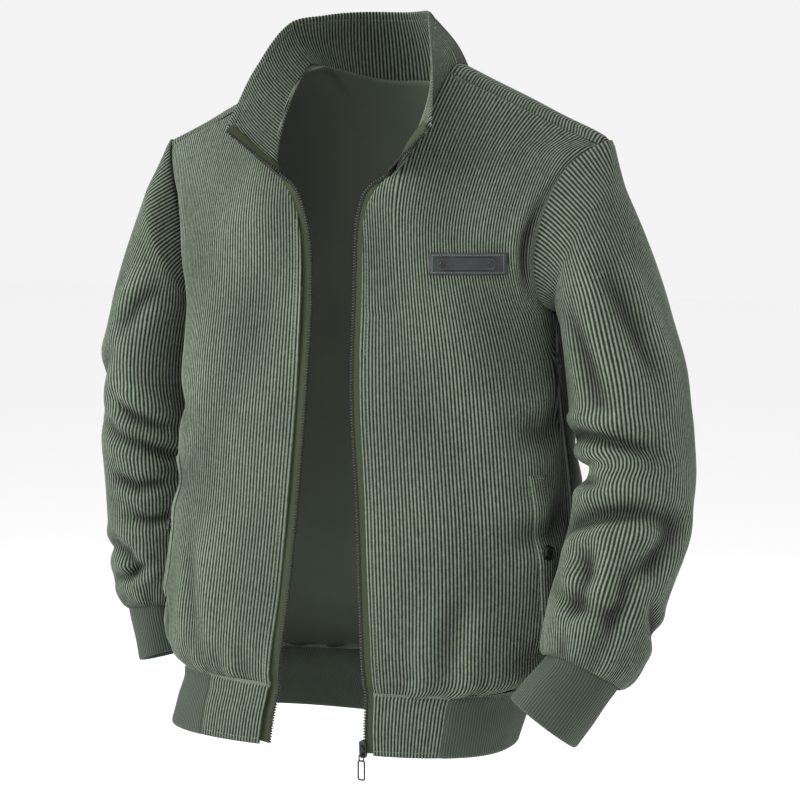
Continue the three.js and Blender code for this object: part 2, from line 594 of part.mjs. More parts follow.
// The slider at the foot of the left half of the zip, its bridge and the pull that hangs on it.
const sliderX = zipEdge(SLIDER.level).left - SLIDER.inward;
const sliderFace = frontAt(sliderX, SLIDER.level).y + TAPE.depth - SLIDER.thick / 2;
function roundedOutline(width, height, corner) {
  const [w, h] = [width / 2, height / 2];
  const shape = new THREE.Shape();
  shape.moveTo(-w + corner, -h).lineTo(w - corner, -h).quadraticCurveTo(w, -h, w, -h + corner)
    .lineTo(w, h - corner).quadraticCurveTo(w, h, w - corner, h).lineTo(-w + corner, h)
    .quadraticCurveTo(-w, h, -w, h - corner).lineTo(-w, -h + corner)
    .quadraticCurveTo(-w, -h, -w + corner, -h);
  return shape;
}
const extruded = (shape, depth) => (
  new THREE.ExtrudeGeometry(shape, { depth, bevelEnabled: false, curveSegments: 4 }));
{
  const block = roundedOutline(SLIDER.width, SLIDER.length, SLIDER.corner);
  const mesh = add("zip_slider", extruded(block, SLIDER.thick), BLACK_METAL);
  mesh.rotation.x = Math.PI / 2;
  mesh.position.set(sliderX, sliderFace + SLIDER.thick, SLIDER.level);

  // The bridge is an arch over the slider's face, wide enough for the pull's eye to turn in.
  const [h, t, b] = [BRIDGE.length / 2, BRIDGE.tall, BRIDGE.bar];
  const arch = new THREE.Shape();
  arch.moveTo(-h, 0).lineTo(-h, t - 1.5).quadraticCurveTo(-h, t, -h + 1.5, t).lineTo(h - 1.5, t)
    .quadraticCurveTo(h, t, h, t - 1.5).lineTo(h, 0).lineTo(h - b, 0).lineTo(h - b, t - b)
    .lineTo(-h + b, t - b).lineTo(-h + b, 0).closePath();
  const bridge = add("slider_bridge", extruded(arch, BRIDGE.wide), BLACK_METAL);
  bridge.quaternion.setFromRotationMatrix(new THREE.Matrix4().makeBasis(
    new THREE.Vector3(0, 0, 1), new THREE.Vector3(0, -1, 0), new THREE.Vector3(1, 0, 0)));
  bridge.position.set(sliderX - BRIDGE.wide / 2, sliderFace - BRIDGE.lift, SLIDER.level - 1.5);

  // The pull, with its top bar inside the bridge.
  const pull = roundedOutline(PULL.width, PULL.length, 1.2);
  const eye = roundedOutline(BRIDGE.wide + 1.4, PULL.eye, 0.4);
  const loopLength = PULL.length - PULL.eye - 3.2 * PULL.wire;
  const loop = roundedOutline(PULL.width - 2 * PULL.wire, loopLength, 0.5);
  const shifted = (shape, y) => (
    new THREE.Path(shape.getPoints(4).map((p) => new THREE.Vector2(p.x, p.y + y))));
  pull.holes.push(shifted(eye, PULL.length / 2 - PULL.wire * 0.8 - PULL.eye / 2));
  pull.holes.push(shifted(loop, -(PULL.eye + 1.2 * PULL.wire) / 2));
  const tab = add("pull_tab", extruded(pull, PULL.thick), BLACK_METAL);
  tab.rotation.x = Math.PI / 2;
  const seat = sliderFace - BRIDGE.lift - (BRIDGE.tall - BRIDGE.bar) / 2;
  tab.position.set(sliderX, seat + PULL.thick / 2, PULL.top - PULL.length / 2);
}

export default group;
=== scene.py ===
"""Dresses the corduroy jacket: ribbed cloth with its folds, knit bands, zip, snaps and patch."""

import bpy
import numpy as np
from bpy.props import FloatProperty, FloatVectorProperty, PointerProperty
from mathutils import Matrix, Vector


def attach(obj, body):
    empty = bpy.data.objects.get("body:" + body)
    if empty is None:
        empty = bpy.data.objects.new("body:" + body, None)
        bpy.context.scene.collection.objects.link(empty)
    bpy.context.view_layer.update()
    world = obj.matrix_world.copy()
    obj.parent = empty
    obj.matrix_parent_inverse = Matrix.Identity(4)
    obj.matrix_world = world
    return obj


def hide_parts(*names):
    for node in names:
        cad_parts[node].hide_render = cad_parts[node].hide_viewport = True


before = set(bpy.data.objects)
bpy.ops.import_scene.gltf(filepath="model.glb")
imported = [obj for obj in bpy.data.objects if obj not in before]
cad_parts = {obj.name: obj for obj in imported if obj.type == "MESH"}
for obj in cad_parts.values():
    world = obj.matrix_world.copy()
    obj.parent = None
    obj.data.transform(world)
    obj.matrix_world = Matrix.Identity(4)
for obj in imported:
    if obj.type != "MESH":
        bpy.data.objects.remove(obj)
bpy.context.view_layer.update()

bl_info = {
    "name": "Corduroy jacket",
    "version": (1, 0, 0),
    "blender": (4, 5, 0),
    "location": "View3D > Sidebar > Jacket",
    "description": "Builds the cloth, trims and stage of a zip-up corduroy jacket",
    "category": "Add Mesh",
}

# Shape of the jacket, in millimetres, as its solids have it.
RIDGE_Y = -8.0
BAND_TOP, BAND_BOTTOM = -604.0, -660.0
ARMPIT, SHOULDER = -238.0, -76.0
NECK_HALF, NECK_FRONT_X, NECK_FRONT_LEVEL, NECK_BACK_Y = 78.0, 57.0, -110.0, 76.0
ZIP_INSET, STRAIGHT_EDGE = 9.0, -227.0
YOKE = 60.0  # drop below the shoulder ridge above which the back's stripes run straight
FULL = 2.6  # power of the body sections' superellipse
WIDTH_LEVEL = -420.0  # where the panels' widths are taken
SLEEVE_RUN, ARMHOLE_RUN = 458, 26  # millimetres down the arm: its end, and where the armhole's shape ends
CLOTH_THICK, BAND_LIFT, TAB_WIDE = 1.6, 2.3, 74
ZIP_STITCH = 7.4  # from the turned zip edge to its line of stitching
FRONT_CREASES, SLEEVE_CREASES = 1.5, 1.9  # how much deeper than marked below
WELT_SHARE, SNAP_LEVEL = 0.765, -464.0
PATCH_X, PATCH_LEVEL, PATCH_WIDE, PATCH_TALL = 131.5, -191.0, 67, 20.5
FLOOR_SHADES = (1.02, 1.01)  # against the surround's shade, so that no horizon shows
BODY = [
    [-662, -22, -60, 180, 178, 90, 90], [-635, -16, -52, 180, 178, 97, 93],
    [-604, -10, -42, 182, 180, 102, 95], [-590, -8, -35, 203, 202, 113, 109],
    [-560, -5, -29, 217, 216, 122, 119], [-500, -2, -25, 215, 214, 122, 121],
    [-430, 0, -22, 208, 206, 119, 121], [-380, 0, -21, 206, 200, 118, 120],
    [-330, 0, -20, 204, 193, 117, 120], [-280, 0, -18, 203, 188, 115, 118],
    [-238, 0, -16, 202, 188, 112, 116], [-180, 0, -12, 211, 198, 110, 112],
    [-130, 0, -8, 226, 214, 108, 108], [-80, 0, -6, 248, 240, 106, 104],
    [20, 0, -6, 270, 264, 104, 102],
]
ZIP_EDGE = [
    [-662, 59, 44], [-604, 51, 42], [-560, 44, 41], [-513, 38, 38], [-431, 32, 32],
    [-322, 24, 24], [-227, 22, 22], [-161, 24.5, 24.5], [-135, 30.7, 30.7], [-118, 40, 40],
    [-103, 52.5, 52.5],
]
TURNED_EDGE = [[31, -227], [33, -164], [37.5, -141], [44.5, -126], [57, -110]]
ARMHOLE = [
    [-238, 202, 202, 188, 188], [-222, 203, 205, 184, 191], [-200, 205, 208, 182, 196],
    [-170, 211, 212, 184, 203], [-142, 219, 218, 189, 210], [-120, 226, 225, 196, 216],
    [-98, 233, 231, 207, 223], [-85, 237, 236, 220, 229], [-76, 240, 240, 233, 233],
]
COLLAR_TOP = [
    [-1, -109, -137, -69], [-0.75, -112, -106, -42], [-0.56, -106, -78, -6],
    [-0.4, -86, -42, 38], [-0.3, -64, -8, 46], [-0.18, -40, 28, 50], [0, 0, 46, 50],
    [0.18, 31, 24, 50], [0.3, 48, -12, 44], [0.4, 62, -42, 31], [0.56, 86, -88, 0],
    [0.75, 99, -116, -38], [1, 106, -134, -67],
]
SLEEVES = {
    1: [
        [10, 214, -12, -161, 17, 0, 80, 80, 52], [26, 219, -10, -179, 23, 0, 68, 68, 58],
        [56, 228, -8, -202, 38, 0, 56, 56, 64], [86, 237, -6, -227, 55, 0, 49, 49, 69],
        [114, 244, -5, -253, 72, 0, 48, 48, 72], [168, 256, -5, -305, 77, 0, 54, 54, 71],
        [213, 262, -8, -350, 79, 6, 55, 54, 68], [236, 266, -12, -373, 83, 12, 54, 50, 66],
        [256, 270, -19, -392, 87, 17, 54, 35, 62], [278, 271, -29, -413, 92, 22, 54, 50, 61],
        [308, 272, -42, -440, 96, 28, 54, 53, 60], [356, 268, -66, -481, 98, 30, 52, 52, 56],
        [403, 263, -90, -522, 98, 30, 50, 50, 52], [442, 259, -109, -554, 100, 29, 46, 45, 46],
        [458, 254, -115, -567, 108, 24, 38, 38, 37],
    ],
    -1: [
        [10, 222, -10, -161, 17, 0, 80, 80, 52], [26, 229, -8, -179, 21, 0, 68, 68, 58],
        [56, 238, -5, -202, 36, 0, 56, 56, 64], [86, 247, -3, -227, 55, 0, 49, 49, 69],
        [114, 255, -1, -253, 72, 0, 47, 47, 72], [168, 266, 3, -305, 77, 0, 50, 50, 70],
        [213, 267, 8, -350, 80, -2, 47, 50, 68], [236, 270, 10, -373, 84, -2, 50, 50, 67],
        [256, 273, 12, -392, 86, -2, 53, 49, 65], [278, 274, 14, -413, 88, -2, 51, 50, 64],
        [308, 274, 17, -440, 88, -2, 51, 50, 62], [356, 276, 20, -481, 90, 2, 50, 48, 58],
        [403, 274, 18, -522, 91, 5, 48, 46, 54], [442, 272, 12, -554, 92, 10, 43, 42, 47],
        [458, 270, 9, -567, 98, 10, 32, 32, 38],
    ],
}
CUFFS = {
    1: [
        [0, 255.5, -113.5, -563, 110, 22, 35, 35, 34], [11, 250, -118, -573, 122, 18, 33, 33, 32],
        [36, 236, -126, -593, 123, 18, 35, 35, 33], [62, 222, -134, -614, 123, 18, 36, 36, 34],
    ],
    -1: [
        [0, 270.5, 9.5, -563, 98, 10, 29, 29, 35], [11, 268, 7, -573, 106, 8, 28, 28, 34],
        [32, 262, 5, -593, 108, 6, 28, 28, 34], [54, 255, 2, -614, 109, 6, 29, 29, 35],
    ],
}
SIDES = {-1: "right", 1: "left"}


def read(rows, at):
    """A table's columns at any values of its first: a cubic through every row, held at the ends."""
    rows = np.array(sorted(rows, key=lambda row: row[0]), float)
    at = np.asarray(at, float)
    keys, last = rows[:, 0], len(rows) - 1
    i = np.clip(np.searchsorted(keys, at) - 1, 0, last - 1)
    before, after = np.maximum(i - 1, 0), np.minimum(i + 2, last)
    span = keys[i + 1] - keys[i]
    t = np.clip((at - keys[i]) / span, 0, 1)[..., None]
    into = (rows[i + 1] - rows[before]) * (span / (keys[i + 1] - keys[before]))[..., None]
    out = (rows[after] - rows[i]) * (span / (keys[after] - keys[i]))[..., None]
    found = (rows[i] * (2 * t**3 - 3 * t**2 + 1) + into * (t**3 - 2 * t**2 + t)
             + rows[i + 1] * (3 * t**2 - 2 * t**3) + out * (t**3 - t**2))
    return np.moveaxis(found[..., 1:], -1, 0)


def unit(vectors):
    """Vectors brought to length one along the last axis."""
    return vectors / np.maximum(np.linalg.norm(vectors, axis=-1, keepdims=True), 1e-9)


def ridge_level(x):
    """Height of the shoulder's ridge: a line sloping 25 degrees down, rounded at the neck."""
    return (NECK_HALF - np.hypot(x, 16)) * np.tan(np.radians(25))


def roundness(drop, facing):
    """How far the cloth has come round the shoulder: a quarter superellipse of the drop."""
    depth, fullness = np.where(facing < 0, 150.0, 110.0), np.where(facing < 0, 1.5, 2.0)
    return (1 - (1 - np.minimum(drop / depth, 1)) ** fullness) ** (1 / fullness)


def body_oval(x, level, facing):
    """Middle and reach of a body section: a superellipse of power 2.6 on the table's half widths."""
    mid_x, mid_y, right, left, front, back = read(BODY, level)
    across = np.minimum(np.abs(x - mid_x) / np.where(x < mid_x, right, left), 1)
    return mid_y, np.where(facing < 0, front, back) * (1 - across**FULL) ** (1 / FULL)


def cloth_at(x, level, facing):
    """A point of the body's cloth: the oval section drawn in to the ridge line near the shoulder,
    with the front raised in a soft hump where its upper edges fall open."""
    x, level = np.broadcast_arrays(np.asarray(x, float), np.asarray(level, float))
    drop = np.maximum(ridge_level(x) - level, 0)
    return cloth_below(x, drop, facing)


def cloth_below(x, drop, facing):
    """The same point, given by how far it lies below the ridge."""
    level = ridge_level(x) - drop
    middle, reach = body_oval(x, level, facing)
    way = roundness(drop, facing)
    hump = 17 * np.exp(-((level + 103) / 70) ** 2 - ((np.abs(x) - 40) / 70) ** 2) * (facing < 0)
    y = RIDGE_Y + (middle - RIDGE_Y) * way + np.sign(facing) * reach * way - hump
    return np.stack(np.broadcast_arrays(x, y, level), -1)


def section_ends(side, level, facing):
    """Inner and outer x of a level section: zip edge or middle back, and side or armhole."""
    mid_x, _, right, left, _, _ = read(BODY, level)
    reach = right if side < 0 else left
    edge = read(ARMHOLE, np.minimum(level, SHOULDER))[(0 if side < 0 else 2) + (0 if facing < 0 else 1)]
    low = level < ARMPIT
    outer = np.where(low, mid_x, 0) + side * np.where(low, reach, np.minimum(edge, reach))
    zip_x = read(ZIP_EDGE, np.minimum(level, STRAIGHT_EDGE))[0 if side < 0 else 1]
    return (side * (ZIP_INSET + zip_x) if facing < 0 else mid_x), outer


def section_x(side, level, share, facing):
    """The x a given share of the way along a level section, measured along the cloth."""
    level, share = np.broadcast_arrays(np.asarray(level, float), np.asarray(share, float))
    inner, outer = section_ends(side, level, facing)
    steps = np.sin(np.linspace(0, np.pi / 2, 37))
    xs = inner[..., None] + (outer - inner)[..., None] * steps
    points = cloth_at(xs, level[..., None], facing)
    run = np.cumsum(np.linalg.norm(np.diff(points, axis=-2), axis=-1), -1)
    run = np.concatenate([np.zeros_like(run[..., :1]), run], -1)
    wanted = share * run[..., -1]
    k = np.clip((run < wanted[..., None]).sum(-1), 1, 36)[..., None]
    low, high = (np.take_along_axis(run, k - step, -1)[..., 0] for step in (1, 0))
    from_x, to_x = (np.take_along_axis(xs, k - step, -1)[..., 0] for step in (1, 0))
    return from_x + (to_x - from_x) * (wanted - low) / (high - low)


def section_length(side, level, facing):
    """Length of the cloth along one level section."""
    xs = section_x(side, level, np.linspace(0, 1, 37), facing)
    return np.linalg.norm(np.diff(cloth_at(xs, level, facing), axis=0), axis=-1).sum()


def front_top(x):
    """The level where an upright stripe of the front ends: turned edge, neck curve or shoulder."""
    across = np.abs(x)
    shoulder = ridge_level(x) - 9
    along = np.clip((across - NECK_FRONT_X) / (NECK_HALF - NECK_FRONT_X), 0, 1)
    neck = np.minimum(NECK_FRONT_LEVEL * np.sqrt(1 - along**2), shoulder)
    return np.where(across < NECK_FRONT_X, read(TURNED_EDGE, across)[0],
                    np.where(along < 1, neck, shoulder))


def front_grid(side, shares, rows):
    """Upright stripes from the hem seam to wherever each one ends, found by halving steps. Away
    from the panel's edges each stripe runs straighter: its x is averaged over nearby rows."""
    top = np.full(len(shares), STRAIGHT_EDGE + 60)
    for _ in range(24):
        top = (top + front_top(section_x(side, top, shares, -1))) / 2
    even = np.linspace(BAND_TOP + 0.2, 0, rows)[:, None]
    low = even[:, 0].searchsorted(STRAIGHT_EDGE - 60)
    rest = np.linspace(0, 1, rows - low)[:, None]
    level = np.concatenate([even[:low] + 0 * top, even[low] + (top - 0.2 - even[low]) * rest])
    x = section_x(side, level, shares[None], -1)
    keep = np.abs(2 * shares - 1) ** 6
    return cloth_at(straighter(x, keep), level, -1)


def straighter(x, keep):
    """Stripes averaged over an eighth of their rows on each side. keep is the share of the old
    place that each one holds, which rises to 1 at the first and last row."""
    rows = len(x)
    row = np.arange(rows)
    near = np.exp(-(((row[:, None] - row) * 8 / rows) ** 2))
    line = x[:1] + (x[-1:] - x[:1]) * np.linspace(0, 1, rows)[:, None]
    soft = line + (near / near.sum(1, keepdims=True)) @ (x - line)
    keep = np.maximum(keep, np.abs(2 * row[:, None] / (rows - 1) - 1) ** 14)
    return x * keep + soft * (1 - keep)


def back_grid(side, shares, rows):
    """Stripes of the back from the hem up to the neck, or over the shoulder to its front seam.
    Above the yoke's drop they keep their x, save those that follow the armhole."""
    def along(drop, facing):
        x = side * 150 * shares * np.ones_like(drop)
        for _ in range(16):
            x = (x + section_x(side, ridge_level(x) - drop, shares * np.ones_like(drop), 1)) / 2
        return cloth_below(x, drop, facing)
    start = np.full(len(shares), 28 - BAND_TOP)
    for _ in range(6):
        start = start + along(start, 1)[..., 2] - (BAND_TOP + 0.2)
    neck_x = np.abs(along(np.full(len(shares), YOKE), 1)[..., 0])
    y = (NECK_BACK_Y - RIDGE_Y) * np.sqrt(np.maximum(1 - (neck_x / NECK_HALF) ** 2, 0))
    end = np.where(neck_x < NECK_HALF - 1, drop_for(neck_x, y) + 0.3, -8.6)

    def steep(drop):
        size = np.abs(drop)
        return np.sign(drop) * (size + np.sqrt(size**2 + 104 * size)) / 2
    way = steep(start) + (steep(end) - steep(start)) * np.linspace(0, 1, rows)[:, None]
    drop, facing = way**2 / (np.abs(way) + 26), np.where(way < 0, -1.0, 1.0)
    x = straighter(along(np.maximum(drop, YOKE), 1)[..., 0], shares**8)
    x = x + (along(drop, 1)[..., 0] - x) * shares**8
    return cloth_below(x, drop, facing)


def drop_for(x, depth):
    """The drop at which the back has come a given depth behind the ridge."""
    middle, reach = body_oval(x, -20.0, 1)
    share = np.clip(depth / (middle - RIDGE_Y + reach), 0, 1)
    return 110 * (1 - np.sqrt(1 - share**2))


def neck_point(share):
    """The neck seam: a half ellipse at the back and a quarter ellipse down each front."""
    side, across = np.where(share < 0, -1.0, 1.0), np.abs(share)
    back_angle = np.minimum(across / 0.4, 1) * np.pi / 2
    back_x = NECK_HALF * np.sin(back_angle)
    back = cloth_below(side * back_x, drop_for(back_x, (NECK_BACK_Y - RIDGE_Y) * np.cos(back_angle)), 1)
    angle = np.maximum((across - 0.4) / 0.6, 0) * np.pi / 2
    x = NECK_FRONT_X + (NECK_HALF - NECK_FRONT_X) * np.cos(angle)
    front = cloth_at(side * x, np.minimum(NECK_FRONT_LEVEL * np.sin(angle), ridge_level(x)), -1)
    return np.where((across < 0.4)[..., None], back, front)


def collar_point(share, height):
    """A point of the collar: a straight line from neck seam to top edge, bowed outward."""
    share, height = np.broadcast_arrays(np.asarray(share, float), np.asarray(height, float))
    seam, top = neck_point(share), np.moveaxis(read(COLLAR_TOP, share), 0, -1)
    outward = unit(seam * [1, 1, 0] + [0, 20, 0])
    bow = 5 * np.sin(np.pi * height) * np.where(np.abs(share) > 0.9, 0.4, 1.0)
    return seam + (top - seam) * height[..., None] + outward * bow[..., None]


def ring_points(side, row, angle):
    """A sleeve's ring: an oval about its centre, in the plane that lean and bend give."""
    x, y, z, lean, bend, out, inner, deep = row
    lean, bend, zero = np.radians(lean), np.radians(bend), np.zeros_like(x)
    up = np.stack([np.sin(lean) * side, zero, np.cos(lean)], -1)
    down = np.stack([np.cos(lean) * side, zero, -np.sin(lean)], -1)
    ahead = np.stack([zero, -np.cos(bend), zero], -1) - down * np.sin(bend)[..., None]
    half = np.where(np.cos(angle) > 0, out, inner) * np.cos(angle)
    return (np.stack([x * side, y, z], -1) + up * half[..., None]
            + ahead * (np.sin(angle) * deep)[..., None])


def sleeve_grid(side, runs, angles):
    """Rings down the arm, drawn on to the armhole at the top and kept clear of the body."""
    angle, run = np.meshgrid(angles, runs)
    ring = ring_points(side, read(SLEEVES[side], np.maximum(run, ARMHOLE_RUN)), angle)
    level = (ARMPIT + SHOULDER) / 2 + (SHOULDER - ARMPIT) / 2 * np.cos(angle)
    ahead = np.sin(angle) >= -1e-9
    ends = [section_ends(side, np.clip(level, ARMPIT, SHOULDER), facing)[1] for facing in (-1, 1)]
    mouth = np.where(ahead[..., None], cloth_at(ends[0], level, -1), cloth_at(ends[1], level, 1))
    mouth[..., 0] += side * 1.5
    way = np.clip(run / ARMHOLE_RUN, 0, 1)[..., None]
    points = mouth + (ring - mouth) * way
    mid_x, mid_y, right, left, front, back = read(BODY, points[..., 2])
    in_front = points[..., 1] < mid_y
    across = np.minimum(np.abs(points[..., 1] - mid_y) / np.where(in_front, front, back), 1)
    limit = side * mid_x + (right if side < 0 else left) * (1 - across**FULL) ** (1 / FULL)
    edges = read(ARMHOLE, np.minimum(points[..., 2], SHOULDER))[0 if side < 0 else 2:][:2]
    high = points[..., 2] > ARMPIT
    limit = np.where(high, np.minimum(limit, np.where(in_front, edges[0], edges[1])), limit)
    clear = np.minimum(1.5 + run * 0.25, 3.4)
    points[..., 0] = side * np.maximum(side * points[..., 0], limit + clear)
    return points


def even_rows(grid, runs, wanted):
    """A grid given at some runs, read at the wanted ones: a cubic through each column."""
    found = read(np.column_stack([runs, grid.reshape(len(grid), -1)]), wanted)
    return np.moveaxis(found, 0, -1).reshape(len(wanted), *grid.shape[1:])


def along_rows(grid, keys, wanted):
    """Each row of a grid read at its own wanted places: straight lines between its keys."""
    return np.stack([np.stack([np.interp(at, key, row[:, k]) for k in range(3)], -1)
                     for row, key, at in zip(grid, keys, wanted)])


def normals(grid, ring=False):
    """Unit normals of a grid: across times along, by central differences, each then averaged with
    its five neighbours on both sides so that a slanted row leaves no mark."""
    if ring:
        across = np.roll(grid, -1, 1) - np.roll(grid, 1, 1)
    else:
        across = np.gradient(grid, axis=1)
    found = unit(np.cross(across, np.gradient(grid, axis=0)))
    wide = np.pad(found, ((0, 0), (5, 5), (0, 0)), mode="wrap" if ring else "edge")
    return unit(sum(wide[:, k:k + found.shape[1]] for k in range(11)))


def lengths(grid, axis):
    """Distance along the grid's rows or columns from their start."""
    steps = np.linalg.norm(np.diff(grid, axis=axis), axis=-1)
    return np.insert(np.cumsum(steps, axis), 0, 0, axis)


def wales(u, height, sharp=0.6):
    """Ribs of the cloth: rounded crowns between narrow grooves, one for each whole u."""
    return height * (np.abs(np.sin(np.pi * u)) ** sharp - 0.75)


def dip(distance, depth=1.1, width=2.4):
    """A soft groove where the cloth is sewn down or turned under."""
    return -depth * np.exp(-((distance / width) ** 2))


def stitched(distance, at, depth=0.6, width=1.1):
    """The groove that a line of stitching pulls, a given distance from an edge."""
    return -depth * np.exp(-(((distance - at) / width) ** 2))


def folds(u, v, marks, scale, turn=0.0):
    """Creases: along each marked line a trough with a softer ridge on both sides, fading out at
    its ends. scale gives the millimetres in a unit of u; turn repeats u all round."""
    total = np.zeros(np.broadcast(u, v).shape)
    for depth, width, line in marks:
        line = np.array(line, float)
        best, along = np.full(total.shape, 1e9), np.zeros(total.shape)
        for k, (start, end) in enumerate(zip(line[:-1], line[1:])):
            du = u - start[0]
            if turn:
                du = (du + turn / 2) % turn - turn / 2
            du, dv = du * scale, v - start[1]
            eu, ev = (end[0] - start[0]) * scale, end[1] - start[1]
            t = np.clip((du * eu + dv * ev) / (eu**2 + ev**2), 0, 1)
            gap = np.hypot(du - t * eu, dv - t * ev)
            nearer = gap < best
            best = np.where(nearer, gap, best)
            along = np.where(nearer, (k + t) / (len(line) - 1), along)
        fade = np.sqrt(np.clip(np.sin(np.pi * np.clip(along, 0.02, 0.98)), 0, 1))
        shape = -np.exp(-((best / width) ** 2)) + 0.5 * np.exp(-(((best - 1.9 * width) / width) ** 2))
        total += depth * fade * shape
    return total


def drift(u, v, size, phase):
    """Slow uneven waves in the cloth, a sum of three sines in different directions."""
    return size * (np.sin(u / 23 + v / 61 + phase) + 0.7 * np.sin(u / 37 - v / 29 + 2.1 * phase)
                   + 0.5 * np.sin(u / 14 + v / 41 + 3.7 * phase))


def mesh_of(name, points, faces, kinds, weave, smooth):
    """A mesh from whole arrays. faces is a list of 2-D arrays of vertex numbers; kinds, weave
    and smooth give the material, the corner values and the shading of each of them."""
    mesh = bpy.data.meshes.new(name)
    totals = np.concatenate([np.full(len(f), f.shape[1]) for f in faces])
    corners = np.concatenate([f.ravel() for f in faces])
    mesh.vertices.add(len(points))
    mesh.vertices.foreach_set("co", (np.asarray(points) / 1000).astype(np.float32).ravel())
    mesh.loops.add(len(corners))
    mesh.loops.foreach_set("vertex_index", corners.astype(np.int32))
    mesh.polygons.add(len(totals))
    mesh.polygons.foreach_set("loop_start", (np.cumsum(totals) - totals).astype(np.int32))
    mesh.polygons.foreach_set("material_index", np.repeat(kinds, [len(f) for f in faces]).astype(np.int32))
    mesh.polygons.foreach_set("use_smooth", np.repeat(smooth, [len(f) for f in faces]).astype(bool))
    layer = mesh.attributes.new("weave", "FLOAT_VECTOR", "CORNER")
    layer.data.foreach_set("vector", np.concatenate(weave).astype(np.float32).ravel())
    mesh.update(calc_edges=True)
    made = bpy.data.objects.new(name, mesh)
    bpy.context.scene.collection.objects.link(made)
    return made


def cloth_normals(grid):
    """Outward normals of a front at its grid's own points, by steps of a millimetre on its form."""
    x, level = grid[..., 0], grid[..., 2]
    across = cloth_at(x + 1, level, -1) - cloth_at(x - 1, level, -1)
    along = cloth_at(x, level + 1, -1) - cloth_at(x, level - 1, -1)
    return unit(np.cross(across, along))


def swollen(grid, swell, ring=False, flip=False):
    """A grid moved along its outward normals by its folds, so that both faces follow them."""
    return grid + normals(grid, ring) * (-1 if flip else 1) * np.asarray(swell)[..., None]


def shell(name, base, thickness, u, relief, inner_relief=0.0, step=4, ring=False, flip=False,
          way=None, swell=0.0):
    """A wall of cloth. Its outer face is the base grid moved along its normals by the relief. Its
    inner face lies one thickness behind, on every step-th column, and flat rims join the two. The
    third weave value says how high the folds' swell is, which the cloth's shader turns into painted shade in
    a trough."""
    rows, cols = base.shape[:2]
    way = normals(base, ring) * (-1 if flip else 1) if way is None else way
    v = lengths(base, 0)
    keep = np.arange(0, cols, step)
    lift = np.broadcast_to(inner_relief, (rows, cols))
    outer = base + way * relief[..., None]
    inner = (base - way * (thickness + lift)[..., None])[:, keep]
    points = np.concatenate([outer.reshape(-1, 3), inner.reshape(-1, 3)])
    spans, inner_cols = (cols if ring else cols - 1), len(keep)
    u = np.broadcast_to(u, (rows, cols))
    wide_u = np.concatenate([u, 2 * u[:, -1:] - u[:, -2:-1]], 1) if ring else u
    wide_v = np.concatenate([v, v[:, :1]], 1) if ring else v
    # high: the folds' swell, from 0.1 in a deep trough to 1 on a ridge, which the shader turns into painted
    # shade in the troughs and a little painted light on the ridges.
    high = np.clip(0.8 + np.broadcast_to(swell, (rows, cols)) / 7, 0.1, 1)
    wide_painted_shade = np.concatenate([high, high[:, :1]], 1) if ring else high

    def quads(i, j, columns, start):
        return start + np.stack([i * columns + j % columns, i * columns + (j + 1) % columns,
                                 (i + 1) * columns + (j + 1) % columns, (i + 1) * columns + j % columns], -1)

    def values(i, j, jump):
        i4, j4 = np.stack([i, i, i + 1, i + 1], -1), np.stack([j, j + 1, j + 1, j], -1) * jump
        return np.stack([wide_u[i4, j4], wide_v[i4, j4], wide_painted_shade[i4, j4]], -1)
    i, j = (a.ravel() for a in np.meshgrid(np.arange(rows - 1), np.arange(spans), indexing="ij"))
    faces = [quads(i, j, cols, 0)]
    weave = [values(i, j, 1).reshape(-1, 3)]
    inner_spans = spans // step
    i, j = (a.ravel() for a in np.meshgrid(np.arange(rows - 1), np.arange(inner_spans), indexing="ij"))
    faces.append(quads(i, j, inner_cols, rows * cols)[:, ::-1])
    # The inner face and the rims take a fixed level of 0.8 for the painted fold shade.
    weave.append((values(i, j, step) * [1, 1, 0] + [0, 0, 0.8])[:, ::-1].reshape(-1, 3))
    rims, size = [], rows * cols
    if not ring:
        i, last = np.arange(rows - 1), cols - 1
        rims.append(np.stack([i * cols, (i + 1) * cols,
                              size + (i + 1) * inner_cols, size + i * inner_cols], -1))
        rims.append(np.stack([i * cols + last, size + (i + 1) * inner_cols - 1,
                              size + (i + 2) * inner_cols - 1, (i + 1) * cols + last], -1))
    j = np.arange(inner_spans)[:, None]
    fan = (j * step + np.arange(step + 1)) % cols
    ends = np.concatenate([j, (j + 1) % inner_cols], 1)
    rims.append(np.concatenate([size + ends, fan[:, :0:-1], fan[:, :1]], 1))
    top = (rows - 1) * inner_cols + size
    rims.append(np.concatenate([(rows - 1) * cols + fan, top + ends[:, ::-1]], 1))
    for rim in rims:
        faces.append(rim)
        weave.append(np.tile([0.5, 0.0, 0.8], (rim.size, 1)))
    if flip:
        faces = [face[:, ::-1] for face in faces]
        weave = [w.reshape(len(f), -1, 3)[:, ::-1].reshape(-1, 3) for f, w in zip(faces, weave)]
    return mesh_of(name, points, faces, [0, 1] + [0] * len(rims), weave, [True, True] + [False] * len(rims))


def faces_out(points, faces):
    """The same faces, turned round if the volume that the first of them enclose is negative."""
    a, b, c = (points[faces[0][:, k]] - points.mean(0) for k in (0, 1, 2))
    return faces if (a * np.cross(b, c)).sum() > 0 else [face[:, ::-1] for face in faces]


def solid_of_rings(name, rings):
    """A closed body from a stack of rings of points, its two ends closed by flat caps."""
    count, cols = rings.shape[:2]
    ends = [np.arange(cols)[None, ::-1], (count - 1) * cols + np.arange(cols)[None]]
    faces = faces_out(rings.reshape(-1, 3), [ring_faces(count, cols, False), *ends])
    weave = [np.zeros((face.size, 3)) for face in faces]
    return mesh_of(name, rings.reshape(-1, 3), faces, [0, 0, 0], weave, [True, False, False])


